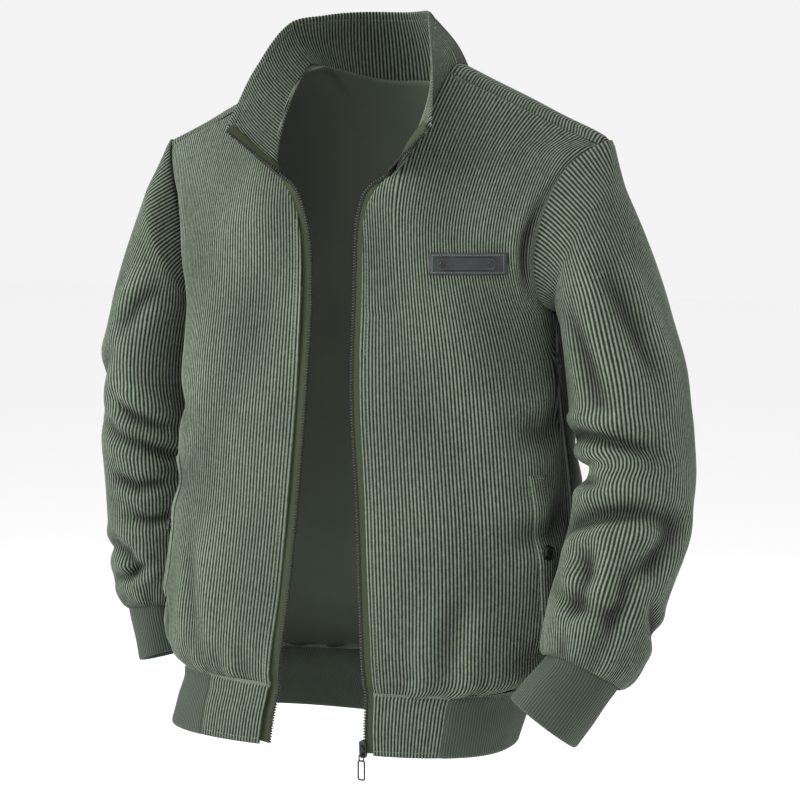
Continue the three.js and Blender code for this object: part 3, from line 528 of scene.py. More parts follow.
def copies(name, template, faces, places):
    """Many copies of one small closed shape: each is the template carried into a place's three
    directions and moved to its point."""
    points = places[:, None, 0] + template @ places[:, 1:]
    count, size = len(places), len(template)
    offset = (np.arange(count) * size)[:, None, None]
    faces = [(face[None] + offset).reshape(-1, face.shape[1]) for face in faces]
    weave = [np.zeros((face.size, 3)) for face in faces]
    return mesh_of(name, points.reshape(-1, 3), faces, [0] * len(faces), weave, [True] * len(faces))


def prism(count, sections):
    """A small rounded bar along its first axis: a polygon of count sides, given as (x, radius y,
    radius z) sections, closed at its ends. Gives its points and faces."""
    angle = np.arange(count) / count * 2 * np.pi + np.pi / count
    circle = np.stack([np.cos(angle), np.sin(angle)], -1)
    points = np.concatenate([np.column_stack([np.full(count, x), circle * [ry, rz]])
                             for x, ry, rz in sections])
    ends = [np.arange(count)[None, ::-1], (len(sections) - 1) * count + np.arange(count)[None]]
    return points, faces_out(points, [ring_faces(len(sections), count, False), *ends])


def along_path(path, spacing, start):
    """Points at equal spacing along a path, and the unit direction at each."""
    run = np.insert(np.cumsum(np.linalg.norm(np.diff(path, axis=0), axis=1)), 0, 0)
    at = np.arange(start, run[-1], spacing)
    point = np.stack([np.interp(at, run, path[:, k]) for k in range(path.shape[1])], -1)
    ahead = np.stack([np.interp(at + 0.5, run, path[:, k]) - np.interp(at - 0.5, run, path[:, k])
                      for k in range(path.shape[1])], -1)[:, :3]
    return point, unit(ahead)


def ring_faces(count, cols, closed):
    """The quads that join a stack of rings, and its last ring to its first one if closed."""
    i, j = (a.ravel() for a in np.meshgrid(np.arange(count - (not closed)), np.arange(cols), indexing="ij"))
    return np.stack([i * cols + j, i * cols + (j + 1) % cols, (i + 1) % count * cols + (j + 1) % cols,
                     (i + 1) % count * cols + j], -1)


def wire_rings(path, radii, up, closed):
    """A wire: an oval section carried along a path, across by one radius and up by the other."""
    nexts = np.roll(path, -1, 0) if closed else np.vstack([path[1:], path[-1:]])
    befores = np.roll(path, 1, 0) if closed else np.vstack([path[:1], path[:-1]])
    ahead = unit(nexts - befores)
    up = np.broadcast_to(np.asarray(up, float), path.shape)
    across = unit(np.cross(ahead, up))
    angle = np.arange(12) / 12 * 2 * np.pi
    ring = (across[:, None] * (np.cos(angle) * radii[0])[:, None]
            + up[:, None] * (np.sin(angle) * radii[1])[:, None])
    return path[:, None] + ring


def turned(name, profile, place, count=48):
    """A round part: a profile of (radius, height) turned about a place's third direction."""
    angle = np.arange(count) / count * 2 * np.pi
    origin, x, y, z = place
    circle = np.cos(angle)[:, None] * x + np.sin(angle)[:, None] * y
    rings = np.stack([origin + circle * r + z * h for r, h in profile])
    return solid_of_rings(name, rings)


def node(tree, kind, sockets=None, **settings):
    """One shader node with its settings, and a value or a link for each named socket."""
    made = tree.nodes.new(kind)
    for key, value in settings.items():
        setattr(made, key, value)
    for key, value in (sockets or {}).items():
        if isinstance(value, bpy.types.NodeSocket):
            tree.links.new(value, made.inputs[key])
        else:
            made.inputs[key].default_value = value
    return made


def sum_of(tree, operation, *values):
    """The result of one sum on its values."""
    return node(tree, "ShaderNodeMath", dict(enumerate(values)), operation=operation).outputs[0]


def blend_of(tree, share, low, high, mode="MIX"):
    """A mix of two colours."""
    return node(tree, "ShaderNodeMix", {0: share, 6: low, 7: high}, data_type="RGBA",
                blend_type=mode).outputs[2]


def noise(tree, vector, scale, detail=2.0, rough=0.5):
    """Noise from 0 to 1 at so many lumps a metre."""
    return node(tree, "ShaderNodeTexNoise", {"Vector": vector, "Scale": scale, "Detail": detail,
                                             "Roughness": rough}).outputs["Fac"]


def finish_of(name):
    """A new material with a Principled shader; gives the material, its tree and the shader. The
    solids' own materials have their slots' names, so no finish here takes one of those."""
    made = bpy.data.materials.get(name)
    if made:
        return made, None, None
    made = bpy.data.materials.new(name)
    made.use_nodes = True
    return made, made.node_tree, made.node_tree.nodes["Principled BSDF"]


def place_of(tree):
    """The point on the piece, in metres."""
    return node(tree, "ShaderNodeTexCoord").outputs["Object"]


def weave_of(tree):
    """The weave attribute: the rib's number, the distance along it, and the folds' height."""
    weave = node(tree, "ShaderNodeAttribute", attribute_name="weave").outputs["Vector"]
    return node(tree, "ShaderNodeSeparateXYZ", {0: weave}).outputs


def crests(tree, value):
    """0 at every whole value and 1 halfway between two of them."""
    return sum_of(tree, "MULTIPLY", sum_of(tree, "PINGPONG", value, 0.5), 2.0)


def tint(tree, shader, colour, level):
    """Links the shader's colour to a colour made lighter or darker by a level."""
    grey = node(tree, "ShaderNodeCombineColor", {0: level, 1: level, 2: level}).outputs[0]
    tree.links.new(blend_of(tree, 1.0, colour, grey, "MULTIPLY"), shader.inputs["Base Color"])


def constants(shader, values):
    """Sets the shader's sockets that stay the same all over."""
    for key, value in values.items():
        shader.inputs[key].default_value = value


def link_bump(tree, shader, height, strength, distance):
    """Bump on the shader from a height."""
    bump = node(tree, "ShaderNodeBump", {"Strength": strength, "Distance": distance, "Height": height})
    tree.links.new(bump.outputs["Normal"], shader.inputs["Normal"])


def ribbed_cloth(name, crown, groove, ribs_wide, bump, sheen):
    """Ribbed cloth: painted shade in the grooves and lighter crowns from the weave values, patches where
    the nap lies another way, an uneven edge to each crown, painted shade in the folds' troughs from the
    third weave value, and a fine fibre bump."""
    made, tree, shader = finish_of(name)
    if tree is None:
        return made
    parts, place = weave_of(tree), place_of(tree)
    crest = crests(tree, parts[0])
    wobble = noise(tree, place, 260.0, 2.0)
    crest = sum_of(tree, "ADD", crest, sum_of(tree, "MULTIPLY_ADD", wobble, 0.5, -0.25))
    share = node(tree, "ShaderNodeMapRange", {0: crest, 1: 0.2, 2: ribs_wide, 3: 0.0, 4: 1.0},
                 interpolation_type="SMOOTHSTEP").outputs[0]
    fibre = noise(tree, place, 1500.0, 3.0, 0.7)
    patches = noise(tree, place, 11.0, 4.0, 0.6)
    streak = node(tree, "ShaderNodeCombineXYZ", {0: parts[0], 1: sum_of(tree, "MULTIPLY", parts[1], 0.03)})
    streaks = noise(tree, streak.outputs[0], 1.3, 2.0)
    # The groove colour is painted shade between the ribs; share is 0 in a groove and 1 on a crown.
    colour = blend_of(tree, share, groove, crown)
    level = sum_of(tree, "MULTIPLY_ADD", patches, 0.42, 0.60)
    level = sum_of(tree, "ADD", level, sum_of(tree, "MULTIPLY_ADD", streaks, 0.26, -0.04))
    level = sum_of(tree, "ADD", level, sum_of(tree, "MULTIPLY_ADD", fibre, 0.36, -0.18))
    # Painted shade: the colour is darkened in the folds' troughs, and a little lightened on their swells, by
    # the third weave value.
    level = sum_of(tree, "MULTIPLY", level, sum_of(tree, "MULTIPLY_ADD", parts[2], 0.8, 0.3))
    tint(tree, shader, colour, level)
    constants(shader, {"Roughness": 0.92, "Specular IOR Level": 0.18, "Sheen Weight": sheen,
                       "Sheen Roughness": 0.45, "Sheen Tint": (0.62, 0.72, 0.58, 1)})
    link_bump(tree, shader, fibre, bump, 0.0006)
    return made


def knitted_cloth(name, crown, groove):
    """Plain rib knit: columns of slanting loops, with painted shade between them, from the weave values."""
    made, tree, shader = finish_of(name)
    if tree is None:
        return made
    parts, place = weave_of(tree), place_of(tree)
    crest = crests(tree, parts[0])
    slant = sum_of(tree, "MULTIPLY_ADD", parts[1], 0.62, sum_of(tree, "MULTIPLY", crest, 0.55))
    loops = crests(tree, slant)
    patches = noise(tree, place, 16.0, 4.0, 0.6)
    fibre = noise(tree, place, 1700.0, 3.0, 0.7)
    height = sum_of(tree, "MULTIPLY", sum_of(tree, "POWER", crest, 0.6),
                    sum_of(tree, "MULTIPLY_ADD", loops, 0.5, 0.5))
    # The low places between ribs and loops take the groove colour: painted shade.
    colour = blend_of(tree, height, groove, crown)
    level = sum_of(tree, "ADD", sum_of(tree, "MULTIPLY_ADD", patches, 0.4, 0.66),
                   sum_of(tree, "MULTIPLY_ADD", fibre, 0.3, -0.1))
    tint(tree, shader, colour, level)
    constants(shader, {"Roughness": 0.95, "Specular IOR Level": 0.15, "Sheen Weight": 0.25,
                       "Sheen Roughness": 0.5})
    link_bump(tree, shader, sum_of(tree, "ADD", height, sum_of(tree, "MULTIPLY", fibre, 0.3)), 0.7, 0.0007)
    return made


def plain_cloth(name, colour, scale, spread):
    """Woven cloth on Object coordinates: a fine check of threads with fibre noise over it."""
    made, tree, shader = finish_of(name)
    if tree is None:
        return made
    place = place_of(tree)
    parts = node(tree, "ShaderNodeSeparateXYZ", {0: place}).outputs
    warp = sum_of(tree, "SINE", sum_of(tree, "MULTIPLY", sum_of(tree, "ADD", parts[0], parts[1]), scale), 0.0)
    weft = sum_of(tree, "SINE", sum_of(tree, "MULTIPLY", parts[2], scale), 0.0)
    threads = sum_of(tree, "MULTIPLY_ADD", sum_of(tree, "MULTIPLY", warp, weft), 0.25, 0.5)
    fibre = noise(tree, place, 1400.0, 3.0, 0.7)
    patches = noise(tree, place, 14.0, 3.0, 0.6)
    level = sum_of(tree, "ADD", sum_of(tree, "MULTIPLY_ADD", threads, spread, 0.55),
                   sum_of(tree, "ADD", sum_of(tree, "MULTIPLY", fibre, 0.3),
                          sum_of(tree, "MULTIPLY", patches, 0.3)))
    tint(tree, shader, colour, level)
    constants(shader, {"Roughness": 0.9, "Specular IOR Level": 0.2})
    link_bump(tree, shader, threads, 0.5, 0.0004)
    return made


def dark_metal(name, colour, worn):
    """Black enamel on metal: half gloss, rubbed a little lighter and duller in small patches."""
    made, tree, shader = finish_of(name)
    if tree is None:
        return made
    place = place_of(tree)
    rub = noise(tree, place, 420.0, 4.0, 0.65)
    fine = noise(tree, place, 2600.0, 2.0)
    edge = node(tree, "ShaderNodeMapRange", {0: rub, 1: 0.5, 2: 0.75}).outputs[0]
    tree.links.new(blend_of(tree, edge, colour, worn), shader.inputs["Base Color"])
    tree.links.new(sum_of(tree, "MULTIPLY_ADD", rub, 0.3, 0.18), shader.inputs["Roughness"])
    constants(shader, {"Metallic": 0.75, "Coat Weight": 0.3, "Coat Roughness": 0.2})
    link_bump(tree, shader, fine, 0.12, 0.0002)
    return made


def slate_leather(name, colour, edge, scale):
    """Leather: pebbled grain from cell distances, with painted shade in its creases, and pale scuffs."""
    made, tree, shader = finish_of(name)
    if tree is None:
        return made
    place = place_of(tree)
    cells = node(tree, "ShaderNodeTexVoronoi", {"Vector": place, "Scale": scale}).outputs["Distance"]
    scuff = noise(tree, place, 130.0, 5.0, 0.7)
    fine = noise(tree, place, 1900.0, 2.0)
    rubbed = node(tree, "ShaderNodeMapRange", {0: scuff, 1: 0.48, 2: 0.72}).outputs[0]
    worn = blend_of(tree, rubbed, colour, edge)
    # Painted shade: the colour darkens towards the cells' edges, where the grain's bump sinks.
    level = sum_of(tree, "ADD", sum_of(tree, "MULTIPLY_ADD", cells, -0.35, 1.05),
                   sum_of(tree, "MULTIPLY_ADD", fine, 0.24, -0.12))
    tint(tree, shader, worn, level)
    tree.links.new(sum_of(tree, "MULTIPLY_ADD", scuff, 0.3, 0.38), shader.inputs["Roughness"])
    height = sum_of(tree, "MULTIPLY_ADD", cells, -1.0, 1.0)
    link_bump(tree, shader, height, 0.35, 0.0004)
    return made


# Creases, as (depth, width, line). Lines on a front or back run over (share, level); on a sleeve
# over (degrees from the arm's top towards its front, run).
FRONT_FOLDS = {
    -1: [
        (4.4, 10, [(0.985, -132), (0.93, -172), (0.93, -218)]),
        (2.4, 14, [(0.95, -300), (0.80, -335), (0.62, -350)]),
        (2.2, 15, [(0.97, -402), (0.80, -420), (0.60, -410)]),
        (2.6, 13, [(0.96, -500), (0.86, -540), (0.70, -560)]),
        (2.2, 11, [(0.52, -470), (0.46, -530), (0.42, -590)]),
    ],
    1: [
        (4.6, 10, [(0.985, -128), (0.93, -168), (0.925, -214)]),
        (2.4, 14, [(0.98, -330), (0.84, -352), (0.66, -350)]),
        (2.6, 13, [(0.97, -420), (0.82, -446), (0.62, -448)]),
        (2.2, 12, [(0.98, -520), (0.88, -552), (0.74, -570)]),
        (2.0, 12, [(0.40, -500), (0.36, -545), (0.33, -592)]),
    ],
}
BACK_FOLDS = {
    -1: [
        (3.0, 14, [(0.95, -190), (0.72, -215), (0.45, -222)]),
        (2.6, 16, [(0.97, -330), (0.70, -362), (0.35, -372)]),
        (2.6, 15, [(0.98, -505), (0.75, -530), (0.45, -548)]),
    ],
    1: [
        (3.0, 14, [(0.94, -180), (0.70, -208), (0.42, -230)]),
        (2.6, 16, [(0.98, -350), (0.74, -388), (0.30, -400)]),
        (2.8, 15, [(0.97, -480), (0.80, -520), (0.52, -540)]),
    ],
}
SLEEVE_FOLDS = {
    -1: [
        (4.8, 10, [(76, 210), (98, 218), (142, 231)]), (4.2, 10, [(54, 230), (110, 246), (154, 264)]),
        (3.0, 8, [(70, 286), (104, 296), (140, 288)]), (2.8, 8, [(-30, 226), (-70, 240), (-110, 236)]),
        (3.4, 10, [(58, 372), (84, 388), (94, 402), (84, 424)]),
        (2.6, 9, [(150, 330), (118, 342), (92, 336)]),
        (2.6, 10, [(70, 160), (40, 190), (20, 226)]), (2.4, 10, [(-60, 150), (-100, 190), (-140, 210)]),
        (2.6, 9, [(60, 374), (20, 392), (-30, 384)]), (2.4, 8, [(120, 396), (80, 418), (40, 424)]),
        (2.4, 9, [(-80, 300), (-120, 330), (-160, 340)]), (2.2, 9, [(-70, 400), (-110, 414), (-150, 404)]),
        (2.6, 11, [(120, 60), (100, 96), (84, 130)]), (2.4, 11, [(-120, 62), (-100, 100), (-90, 132)]),
    ],
    1: [
        (5.2, 11, [(168, 216), (128, 216), (96, 226), (48, 245)]),
        (2.6, 9, [(160, 270), (130, 278), (104, 286)]),
        (5.0, 12, [(150, 330), (114, 324), (72, 312), (18, 300)]),
        (4.0, 13, [(16, 304), (34, 334), (50, 372)]), (3.6, 12, [(110, 350), (96, 380), (98, 414)]),
        (3.6, 12, [(66, 360), (58, 396), (64, 436)]),
        (2.8, 10, [(-40, 228), (-80, 236), (-124, 230)]), (2.6, 10, [(-50, 286), (-96, 300), (-140, 290)]),
        (2.6, 12, [(60, 70), (44, 120), (36, 180)]), (2.4, 11, [(112, 80), (100, 140), (92, 196)]),
        (2.4, 12, [(-70, 110), (-92, 160), (-104, 204)]), (2.6, 9, [(140, 392), (100, 410), (56, 408)]),
        (2.4, 9, [(30, 384), (-6, 402), (-50, 396)]), (2.4, 10, [(-84, 372), (-124, 392), (-166, 384)]),
    ],
}


def show(made, body, slot, materials, *nodes):
    """Puts a finished piece on its body in place of its solids; the slot is not used."""
    for material in materials:
        made.data.materials.append(material)
    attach(made, body)
    if nodes:
        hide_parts(*nodes)
    return made


def opaque(colour, shade=1.0):
    """A colour with its alpha, made lighter or darker by a shade."""
    return tuple(c * shade for c in colour) + (1,)


def corduroy():
    """The corduroy of the outside, and its plain woven back."""
    cloth = bpy.context.scene.jacket_cloth
    # The second colour, for the grooves, is painted shade between the ribs.
    pile = ribbed_cloth("corduroy_pile", opaque(cloth.crown), opaque(cloth.groove), 1.05, 0.35, 0.03)
    return [pile, plain_cloth("corduroy_back", opaque(cloth.crown, 0.5), 4200.0, 0.5)]


def knit():
    """The rib knit of hem and cuffs, the same on both faces."""
    colour = bpy.context.scene.jacket_cloth.knit
    # The second colour, three tenths as bright, is painted shade between the knit's ribs and loops.
    return [knitted_cloth("knit_loops", opaque(colour), opaque(colour, 0.3))] * 2


def black_metal():
    """The enamel of zip, snaps and rivets."""
    colour = bpy.context.scene.jacket_trims.metal
    return dark_metal("enamelled_metal", opaque(colour), tuple(c * 2.5 + 0.01 for c in colour) + (1,))


def thread():
    """The sewing thread, a shade lighter than the cloth."""
    return plain_cloth("thread", opaque(bpy.context.scene.jacket_cloth.crown, 0.9), 9000.0, 0.4)


def gathers(u, from_end, count, size, reach):
    """Small pleats where wide cloth is sewn to a tighter band: none on the seam itself, most a
    little above it, dying out away from it."""
    wave = np.sin(count * u) + 0.5 * np.sin(1.7 * count * u + 1.3)
    return 1.5 * size * wave * np.exp(-from_end / reach) * (1 - np.exp(-np.maximum(from_end, 0) / 7))


def wale_sizes():
    """The corduroy's pitch and the height of its ribs, in millimetres."""
    cloth = bpy.context.scene.jacket_cloth
    return cloth.wale_pitch * 1000, cloth.wale_height * 1000


def wale_numbers(count, ring=False):
    """The u of each column where count ribs have four columns each, closed to a ring or not."""
    return np.linspace(0, count, 4 * count + (not ring), endpoint=not ring)[None]


def under_seam(top):
    """How far a band's cloth is drawn in below the seam on its top edge."""
    return -2.6 * np.exp(-((top / 4.6) ** 4))


def hem_edges(grid):
    """Distances from the two upright edges and from the foot and top of a panel's grid."""
    across, along = lengths(grid, 1), lengths(grid, 0)
    return across, across[:, -1:] - across, along, along[-1:] - along


def sew(name, path, way, length=2.7, gap=0.7, slot="corduroy"):
    """A row of stitches: small rounded bars of thread laid end to end along a path on the cloth.
    way is the outward direction at each point of the path."""
    points, ahead = along_path(np.column_stack([path, way]), length + gap, gap)
    side = unit(np.cross(unit(points[:, 3:]), ahead))
    out = np.cross(ahead, side)
    template, faces = prism(5, [(-length / 2, 0.12, 0.08), (-length / 3, 0.3, 0.24),
                                (length / 3, 0.3, 0.24), (length / 2, 0.12, 0.08)])
    places = np.stack([points[:, :3] + out * 0.12, ahead, side, out], 1)
    return show(copies(name, template, faces, places), "jacket", slot, [thread()])


def legs(*ends):
    """Rows and columns of a grid along straight legs, each from one (row, column) to another."""
    steps = [np.linspace(start, end, int(np.abs(np.subtract(end, start)).max()) + 1)
             for start, end in ends]
    return np.concatenate(steps).round().astype(int).T


def stitch_path(grid, way, lift, rows, cols):
    """A path over a shell's grid through the given rows and columns, at the cloth's outer face."""
    rows, cols = np.broadcast_arrays(rows, cols)
    return (grid + way * lift[..., None])[rows, cols], way[rows, cols]


def front_swell(side, share, level, width):
    """How far a front stands out from its plain form: its creases, hem gathers and slow waves,
    which fade out at the side seam and armhole, and under the stiff chest patch."""
    deep = bpy.context.scene.jacket_cloth.fold_depth
    swell = (folds(share, level, FRONT_FOLDS[side], width) * deep * FRONT_CREASES
             + gathers(share * 6.28, level - BAND_TOP, 5.3, 1.6, 26)
             + drift(share * width, level, 0.8, 1.0 + side))
    patch = np.exp(-(((share - 0.57) / 0.27) ** 6) - ((level + 191) / 22) ** 6) * (side > 0)
    return swell * (1 - patch) * (1 - np.exp(-(((1 - share) / 0.04) ** 2)))


class JACKET_OT_fronts(bpy.types.Operator):
    """The two fronts, with their turned zip edges, seams, stitching and chest folds"""

    bl_idname = "jacket.fronts"
    bl_label = "Fronts"

    def execute(self, context):
        pitch, height = wale_sizes()
        for side, name in SIDES.items():
            width = section_length(side, WIDTH_LEVEL, -1)
            count = round(width / pitch)
            shares = np.linspace(0.0015, 1, 4 * count + 1)
            grid = front_grid(side, shares, 128)
            inner, outer, foot, top = hem_edges(grid)
            u = wale_numbers(count)
            level = grid[..., 2]
            relief = wales(u, height) * (1 - 0.85 * np.exp(-((inner / 1.6) ** 2)))
            relief = relief + dip(inner, 1.5, 1.5) + stitched(inner, ZIP_STITCH) + dip(outer)
            relief = relief + dip(foot, 1.4, 3) + dip(top, 1.2, 2) + stitched(top, 7.0, 0.5) * (shares < 0.2)
            way = cloth_normals(grid)
            swell = front_swell(side, shares[None], level, width)
            grid = grid + way * swell[..., None]
            made = shell(f"cloth_front_{name}", grid, CLOTH_THICK, u, relief, flip=side < 0, way=way,
                         swell=swell)
            show(made, "jacket", "corduroy", corduroy(), f"front_{name}")
            col = int(np.argmin(np.abs(inner[60] - ZIP_STITCH)))
            path, out = stitch_path(grid, way, relief, np.arange(1, 127), col)
            keep = path[:, 2] < -150
            sew(f"stitch_front_{name}", path[keep], out[keep])
        return {"FINISHED"}


class JACKET_OT_back(bpy.types.Operator):
    """The back, carried over the shoulders to the forward seams"""

    bl_idname = "jacket.back"
    bl_label = "Back"

    def execute(self, context):
        pitch, height = wale_sizes()
        depth = context.scene.jacket_cloth.fold_depth
        halves = []
        for side in (-1, 1):
            width = section_length(side, WIDTH_LEVEL, 1)
            count = round(width / pitch)
            shares = np.linspace(0, 1, 3 * count + 1)
            grid = even_rows(back_grid(side, shares, 44), np.arange(44), np.linspace(0, 43, 112))
            _, edge, foot, top = hem_edges(grid)
            u = np.linspace(0, side * count, 3 * count + 1)[None]
            relief = wales(u + 0.5, height, 0.8) + dip(edge) + dip(foot, 1.4, 3) + dip(top, 1.2, 2)
            swell = folds(shares[None], grid[..., 2], BACK_FOLDS[side], width) * depth
            swell += gathers(shares[None] * 6.28 * side, foot, 5.7, 1.5, 26)
            swell += drift(side * shares[None] * width, grid[..., 2], 0.6, 4.2)
            swell *= 1 - np.exp(-(((1 - shares[None]) / 0.04) ** 2))
            grid = swollen(grid, swell, flip=side > 0)
            order = slice(None, None, -1) if side < 0 else slice(1, None)
            halves.append([part[:, order] for part in (grid, relief, u + 0.5, swell)])
        grid, relief, u, swell = (np.concatenate(parts, 1) for parts in zip(*halves))
        made = shell("cloth_back", grid, CLOTH_THICK, u, relief, step=3, flip=True, swell=swell)
        show(made, "jacket", "corduroy", corduroy(), "back")
        return {"FINISHED"}


class JACKET_OT_sleeves(bpy.types.Operator):
    """The bent sleeves, creased at the elbows and gathered at the cuffs"""

    bl_idname = "jacket.sleeves"
    bl_label = "Sleeves"

    def execute(self, context):
        pitch, height = wale_sizes()
        deep = context.scene.jacket_cloth.fold_depth * SLEEVE_CREASES
        runs = np.concatenate([np.linspace(0, ARMHOLE_RUN, 7), np.linspace(34, SLEEVE_RUN, 42)])
        dense = np.linspace(0, 2 * np.pi, 289)
        for side, name in SIDES.items():
            rings = sleeve_grid(side, runs, dense)
            round_it = lengths(rings, 1)
            count = round(np.median(round_it[:, -1]) / pitch)
            share = np.arange(4 * count) / (4 * count)
            angle = np.stack([np.interp(share * full[-1], full, dense) for full in round_it])
            run = np.linspace(0, SLEEVE_RUN, 118)[:, None]
            grid = even_rows(along_rows(rings, [dense] * len(rings), angle), runs, run[:, 0])
            angle = even_rows(angle[..., None], runs, run[:, 0])[..., 0]
            along = lengths(grid, 0)
            u = wale_numbers(count, ring=True)
            relief = wales(u, height) + dip(along, 1.3, 3) + dip(along[-1:] - along, 1.2, 3)
            swell = folds(np.degrees(angle), run, SLEEVE_FOLDS[side], 1.0, 360.0) * deep
            swell += gathers(angle, SLEEVE_RUN - run, 9.0, 1.5, 20)
            swell += 0.5 * np.sin(3 * angle + run / 40 + side) + 0.4 * np.sin(2 * angle - run / 27)
            inside = np.sin(angle / 2) ** 8 * (run < 190)
            swell = (swell - inside * np.maximum(swell, 0)) * np.clip(run / 20, 0, 1)
            grid = swollen(grid, swell, True, side < 0)
            made = shell(f"cloth_sleeve_{name}", grid, 0.1, u, relief + 1.8, ring=True, flip=side < 0,
                         swell=swell)
            show(made, "jacket", "corduroy", corduroy(), f"sleeve_{name}")
        return {"FINISHED"}


class JACKET_OT_bands(bpy.types.Operator):
    """The rib knit cuffs and hem, and the corduroy tabs beside the zip"""

    bl_idname = "jacket.bands"
    bl_label = "Cuffs and hem"

    def execute(self, context):
        cloth = context.scene.jacket_cloth
        rib, (pitch, height) = cloth.rib_pitch * 1000, wale_sizes()
        for side, name in SIDES.items():
            ends = [row[0] for row in CUFFS[side]]
            runs = np.linspace(ends[0], ends[-1], 26)
            count = round(2 * np.pi * 33 / rib)
            angle = np.arange(4 * count) / (4 * count) * 2 * np.pi
            grid = ring_points(side, read(CUFFS[side], runs[:, None] + 0 * angle), angle + 0 * runs[:, None])
            along = lengths(grid, 0)
            u = wale_numbers(count, ring=True)
            relief = wales(u, 0.55, 0.8) + dip(along[-1:] - along, 0.9, 1.4)
            swell = gathers(angle[None], along, 7.0, 0.8, 16) + 0.5 * np.sin(3 * angle + along / 17)
            grid = swollen(grid, swell, True, side < 0)
            made = shell(f"knit_cuff_{name}", grid, 0, u, relief + 2.4, ring=True, flip=side < 0)
            show(made, "jacket", "rib_knit", knit(), f"cuff_{name}")
        levels = np.linspace(BAND_TOP + 4, BAND_BOTTOM, 24)[:, None]
        tabs = {side: TAB_WIDE / section_length(side, BAND_TOP, -1) for side in SIDES}
        for side, name in SIDES.items():
            count = round(TAB_WIDE / pitch)
            shares = np.linspace(0.002, tabs[side] + 0.003, 4 * count + 1)[None]
            grid = cloth_at(section_x(side, levels, shares, -1), levels, -1)
            inner, outer, top, foot = hem_edges(grid)
            u = wale_numbers(count)
            relief = wales(u, height) + dip(inner, 1.2, 1.5) + dip(outer) + dip(foot, 1.2, 1.6)
            relief = relief + under_seam(top) + stitched(inner, ZIP_STITCH) + stitched(foot, 6.5, 0.5)
            relief = relief + drift(inner, top, 0.3, side) + BAND_LIFT
            made = shell(f"cloth_tab_{name}", grid, 0, u, relief, flip=side > 0)
            show(made, "jacket", "corduroy", corduroy(), f"hem_tab_{name}")
            way = normals(grid) * -side
            row = int(np.argmin(np.abs(foot[:, 0] - 6.5)))
            path, out = stitch_path(grid, way, relief, row, np.arange(2, 4 * count - 2))
            sew(f"stitch_tab_{name}", path, out)
        parts = []
        for side in (1, -1):
            front = np.linspace(tabs[side] - 0.003, 1, 420)
            rear = np.linspace(1, 0, 640)[1:]
            piece = np.concatenate([cloth_at(section_x(side, levels, front[None], -1), levels, -1),
                                    cloth_at(section_x(side, levels, rear[None], 1), levels, 1)], 1)
            parts.append(piece if side > 0 else piece[:, ::-1][:, 1:])
        dense = np.concatenate(parts, 1)
        run = lengths(dense, 1)
        count = round(run[10, -1] / rib)
        share = np.linspace(0, 1, 4 * count + 1)
        grid = along_rows(dense, run, share * run[:, -1:])
        inner, outer, top, foot = hem_edges(grid)
        u = wale_numbers(count)
        relief = wales(u, 0.55, 0.8) + dip(inner, 1.6) + dip(outer, 1.6) + dip(foot, 0.9, 1.4)
        relief = relief + under_seam(top) + BAND_LIFT
        swell = drift(inner, top, 0.35, 5.0) + gathers(share[None] * 6.28, top, 21.0, 0.6, 14)
        grid = swollen(grid, swell, flip=True)
        made = shell("knit_hem", grid, 0, u, relief, flip=True)
        show(made, "jacket", "rib_knit", knit(), "hem_rib")
        return {"FINISHED"}


class JACKET_OT_collar(bpy.types.Operator):
    """The fallen stand collar, ribbed on both faces and stitched along its edge"""

    bl_idname = "jacket.collar"
    bl_label = "Collar"

    def execute(self, context):
        pitch, height = wale_sizes()
        dense = np.linspace(-0.945, 0.945, 181)
        middle = collar_point(dense, 0.55)
        run = lengths(middle[None], 1)[0]
        count = round(run[-1] / pitch)
        share = np.interp(np.linspace(0, run[-1], 4 * count + 1), run, dense)
        tall = np.linspace(-0.05, 1, 36)[:, None]
        grid = collar_point(share[None], tall)
        inner, outer, seam, top = hem_edges(grid)
        u = wale_numbers(count)
        rim = dip(top, 1.0, 1.5) + dip(inner, 1.0, 1.5) + dip(outer, 1.0, 1.5)
        lines = stitched(top, 9.0) + stitched(inner, 8.0, 0.5) + stitched(outer, 8.0, 0.5)
        wave = drift(inner, seam, 0.4, 0.4)
        relief = wales(u, height) + rim + lines + dip(seam, 1.0, 2.5) + wave
        under = wales(u + 0.5, height * 0.9) + rim + lines - wave
        made = shell("cloth_collar", grid, 2.4, u, relief, under, step=1)
        show(made, "jacket", "corduroy", [corduroy()[0]] * 2, "collar")
        way = normals(grid)
        row = int(np.argmin(np.abs(top[:, len(share) // 2] - 9.0)))
        cols = np.arange(12, len(share) - 12, 2)
        path, out = stitch_path(grid, way, relief, row, cols)
        sew("stitch_collar_outer", path, out)
        path, out = stitch_path(grid, -way, 2.4 + under, row, cols)
        sew("stitch_collar_inner", path, out)
        return {"FINISHED"}


def zip_line(side):
    """The zip's run: points on its teeth, the direction towards the cloth and the way out of it,
    up the front edge, round the turned corner and up the collar's end."""
    levels = np.concatenate([np.linspace(-659, -227, 60), [-195.0]])
    x = read(ZIP_EDGE, levels)[0 if side < 0 else 1]
    turn = np.hstack([np.array(ZIP_EDGE)[7:10, [1, 0]], TURNED_EDGE[1:4]])
    tall = np.array([0.12, 0.4, 0.7, 1.0])
    teeth = np.concatenate([cloth_at(side * x, levels, -1), cloth_at(side * turn[:, 0], turn[:, 1], -1),
                            collar_point(float(side), tall)])
    cloth = np.concatenate([cloth_at(side * (x + ZIP_INSET), levels, -1),
                            cloth_at(side * turn[:, 2], turn[:, 3], -1),
                            collar_point(side * 0.945, tall)])
    run = lengths(teeth[None], 1)[0]
    even = np.linspace(0, run[-1], 460)
    teeth, cloth = (even_rows(line, run, even) for line in (teeth, cloth))
    ahead = unit(np.gradient(teeth, axis=0))
    across = cloth - teeth
    across = unit(across - ahead * (across * ahead).sum(1, keepdims=True))
    return teeth, across, np.cross(ahead, across) * -side


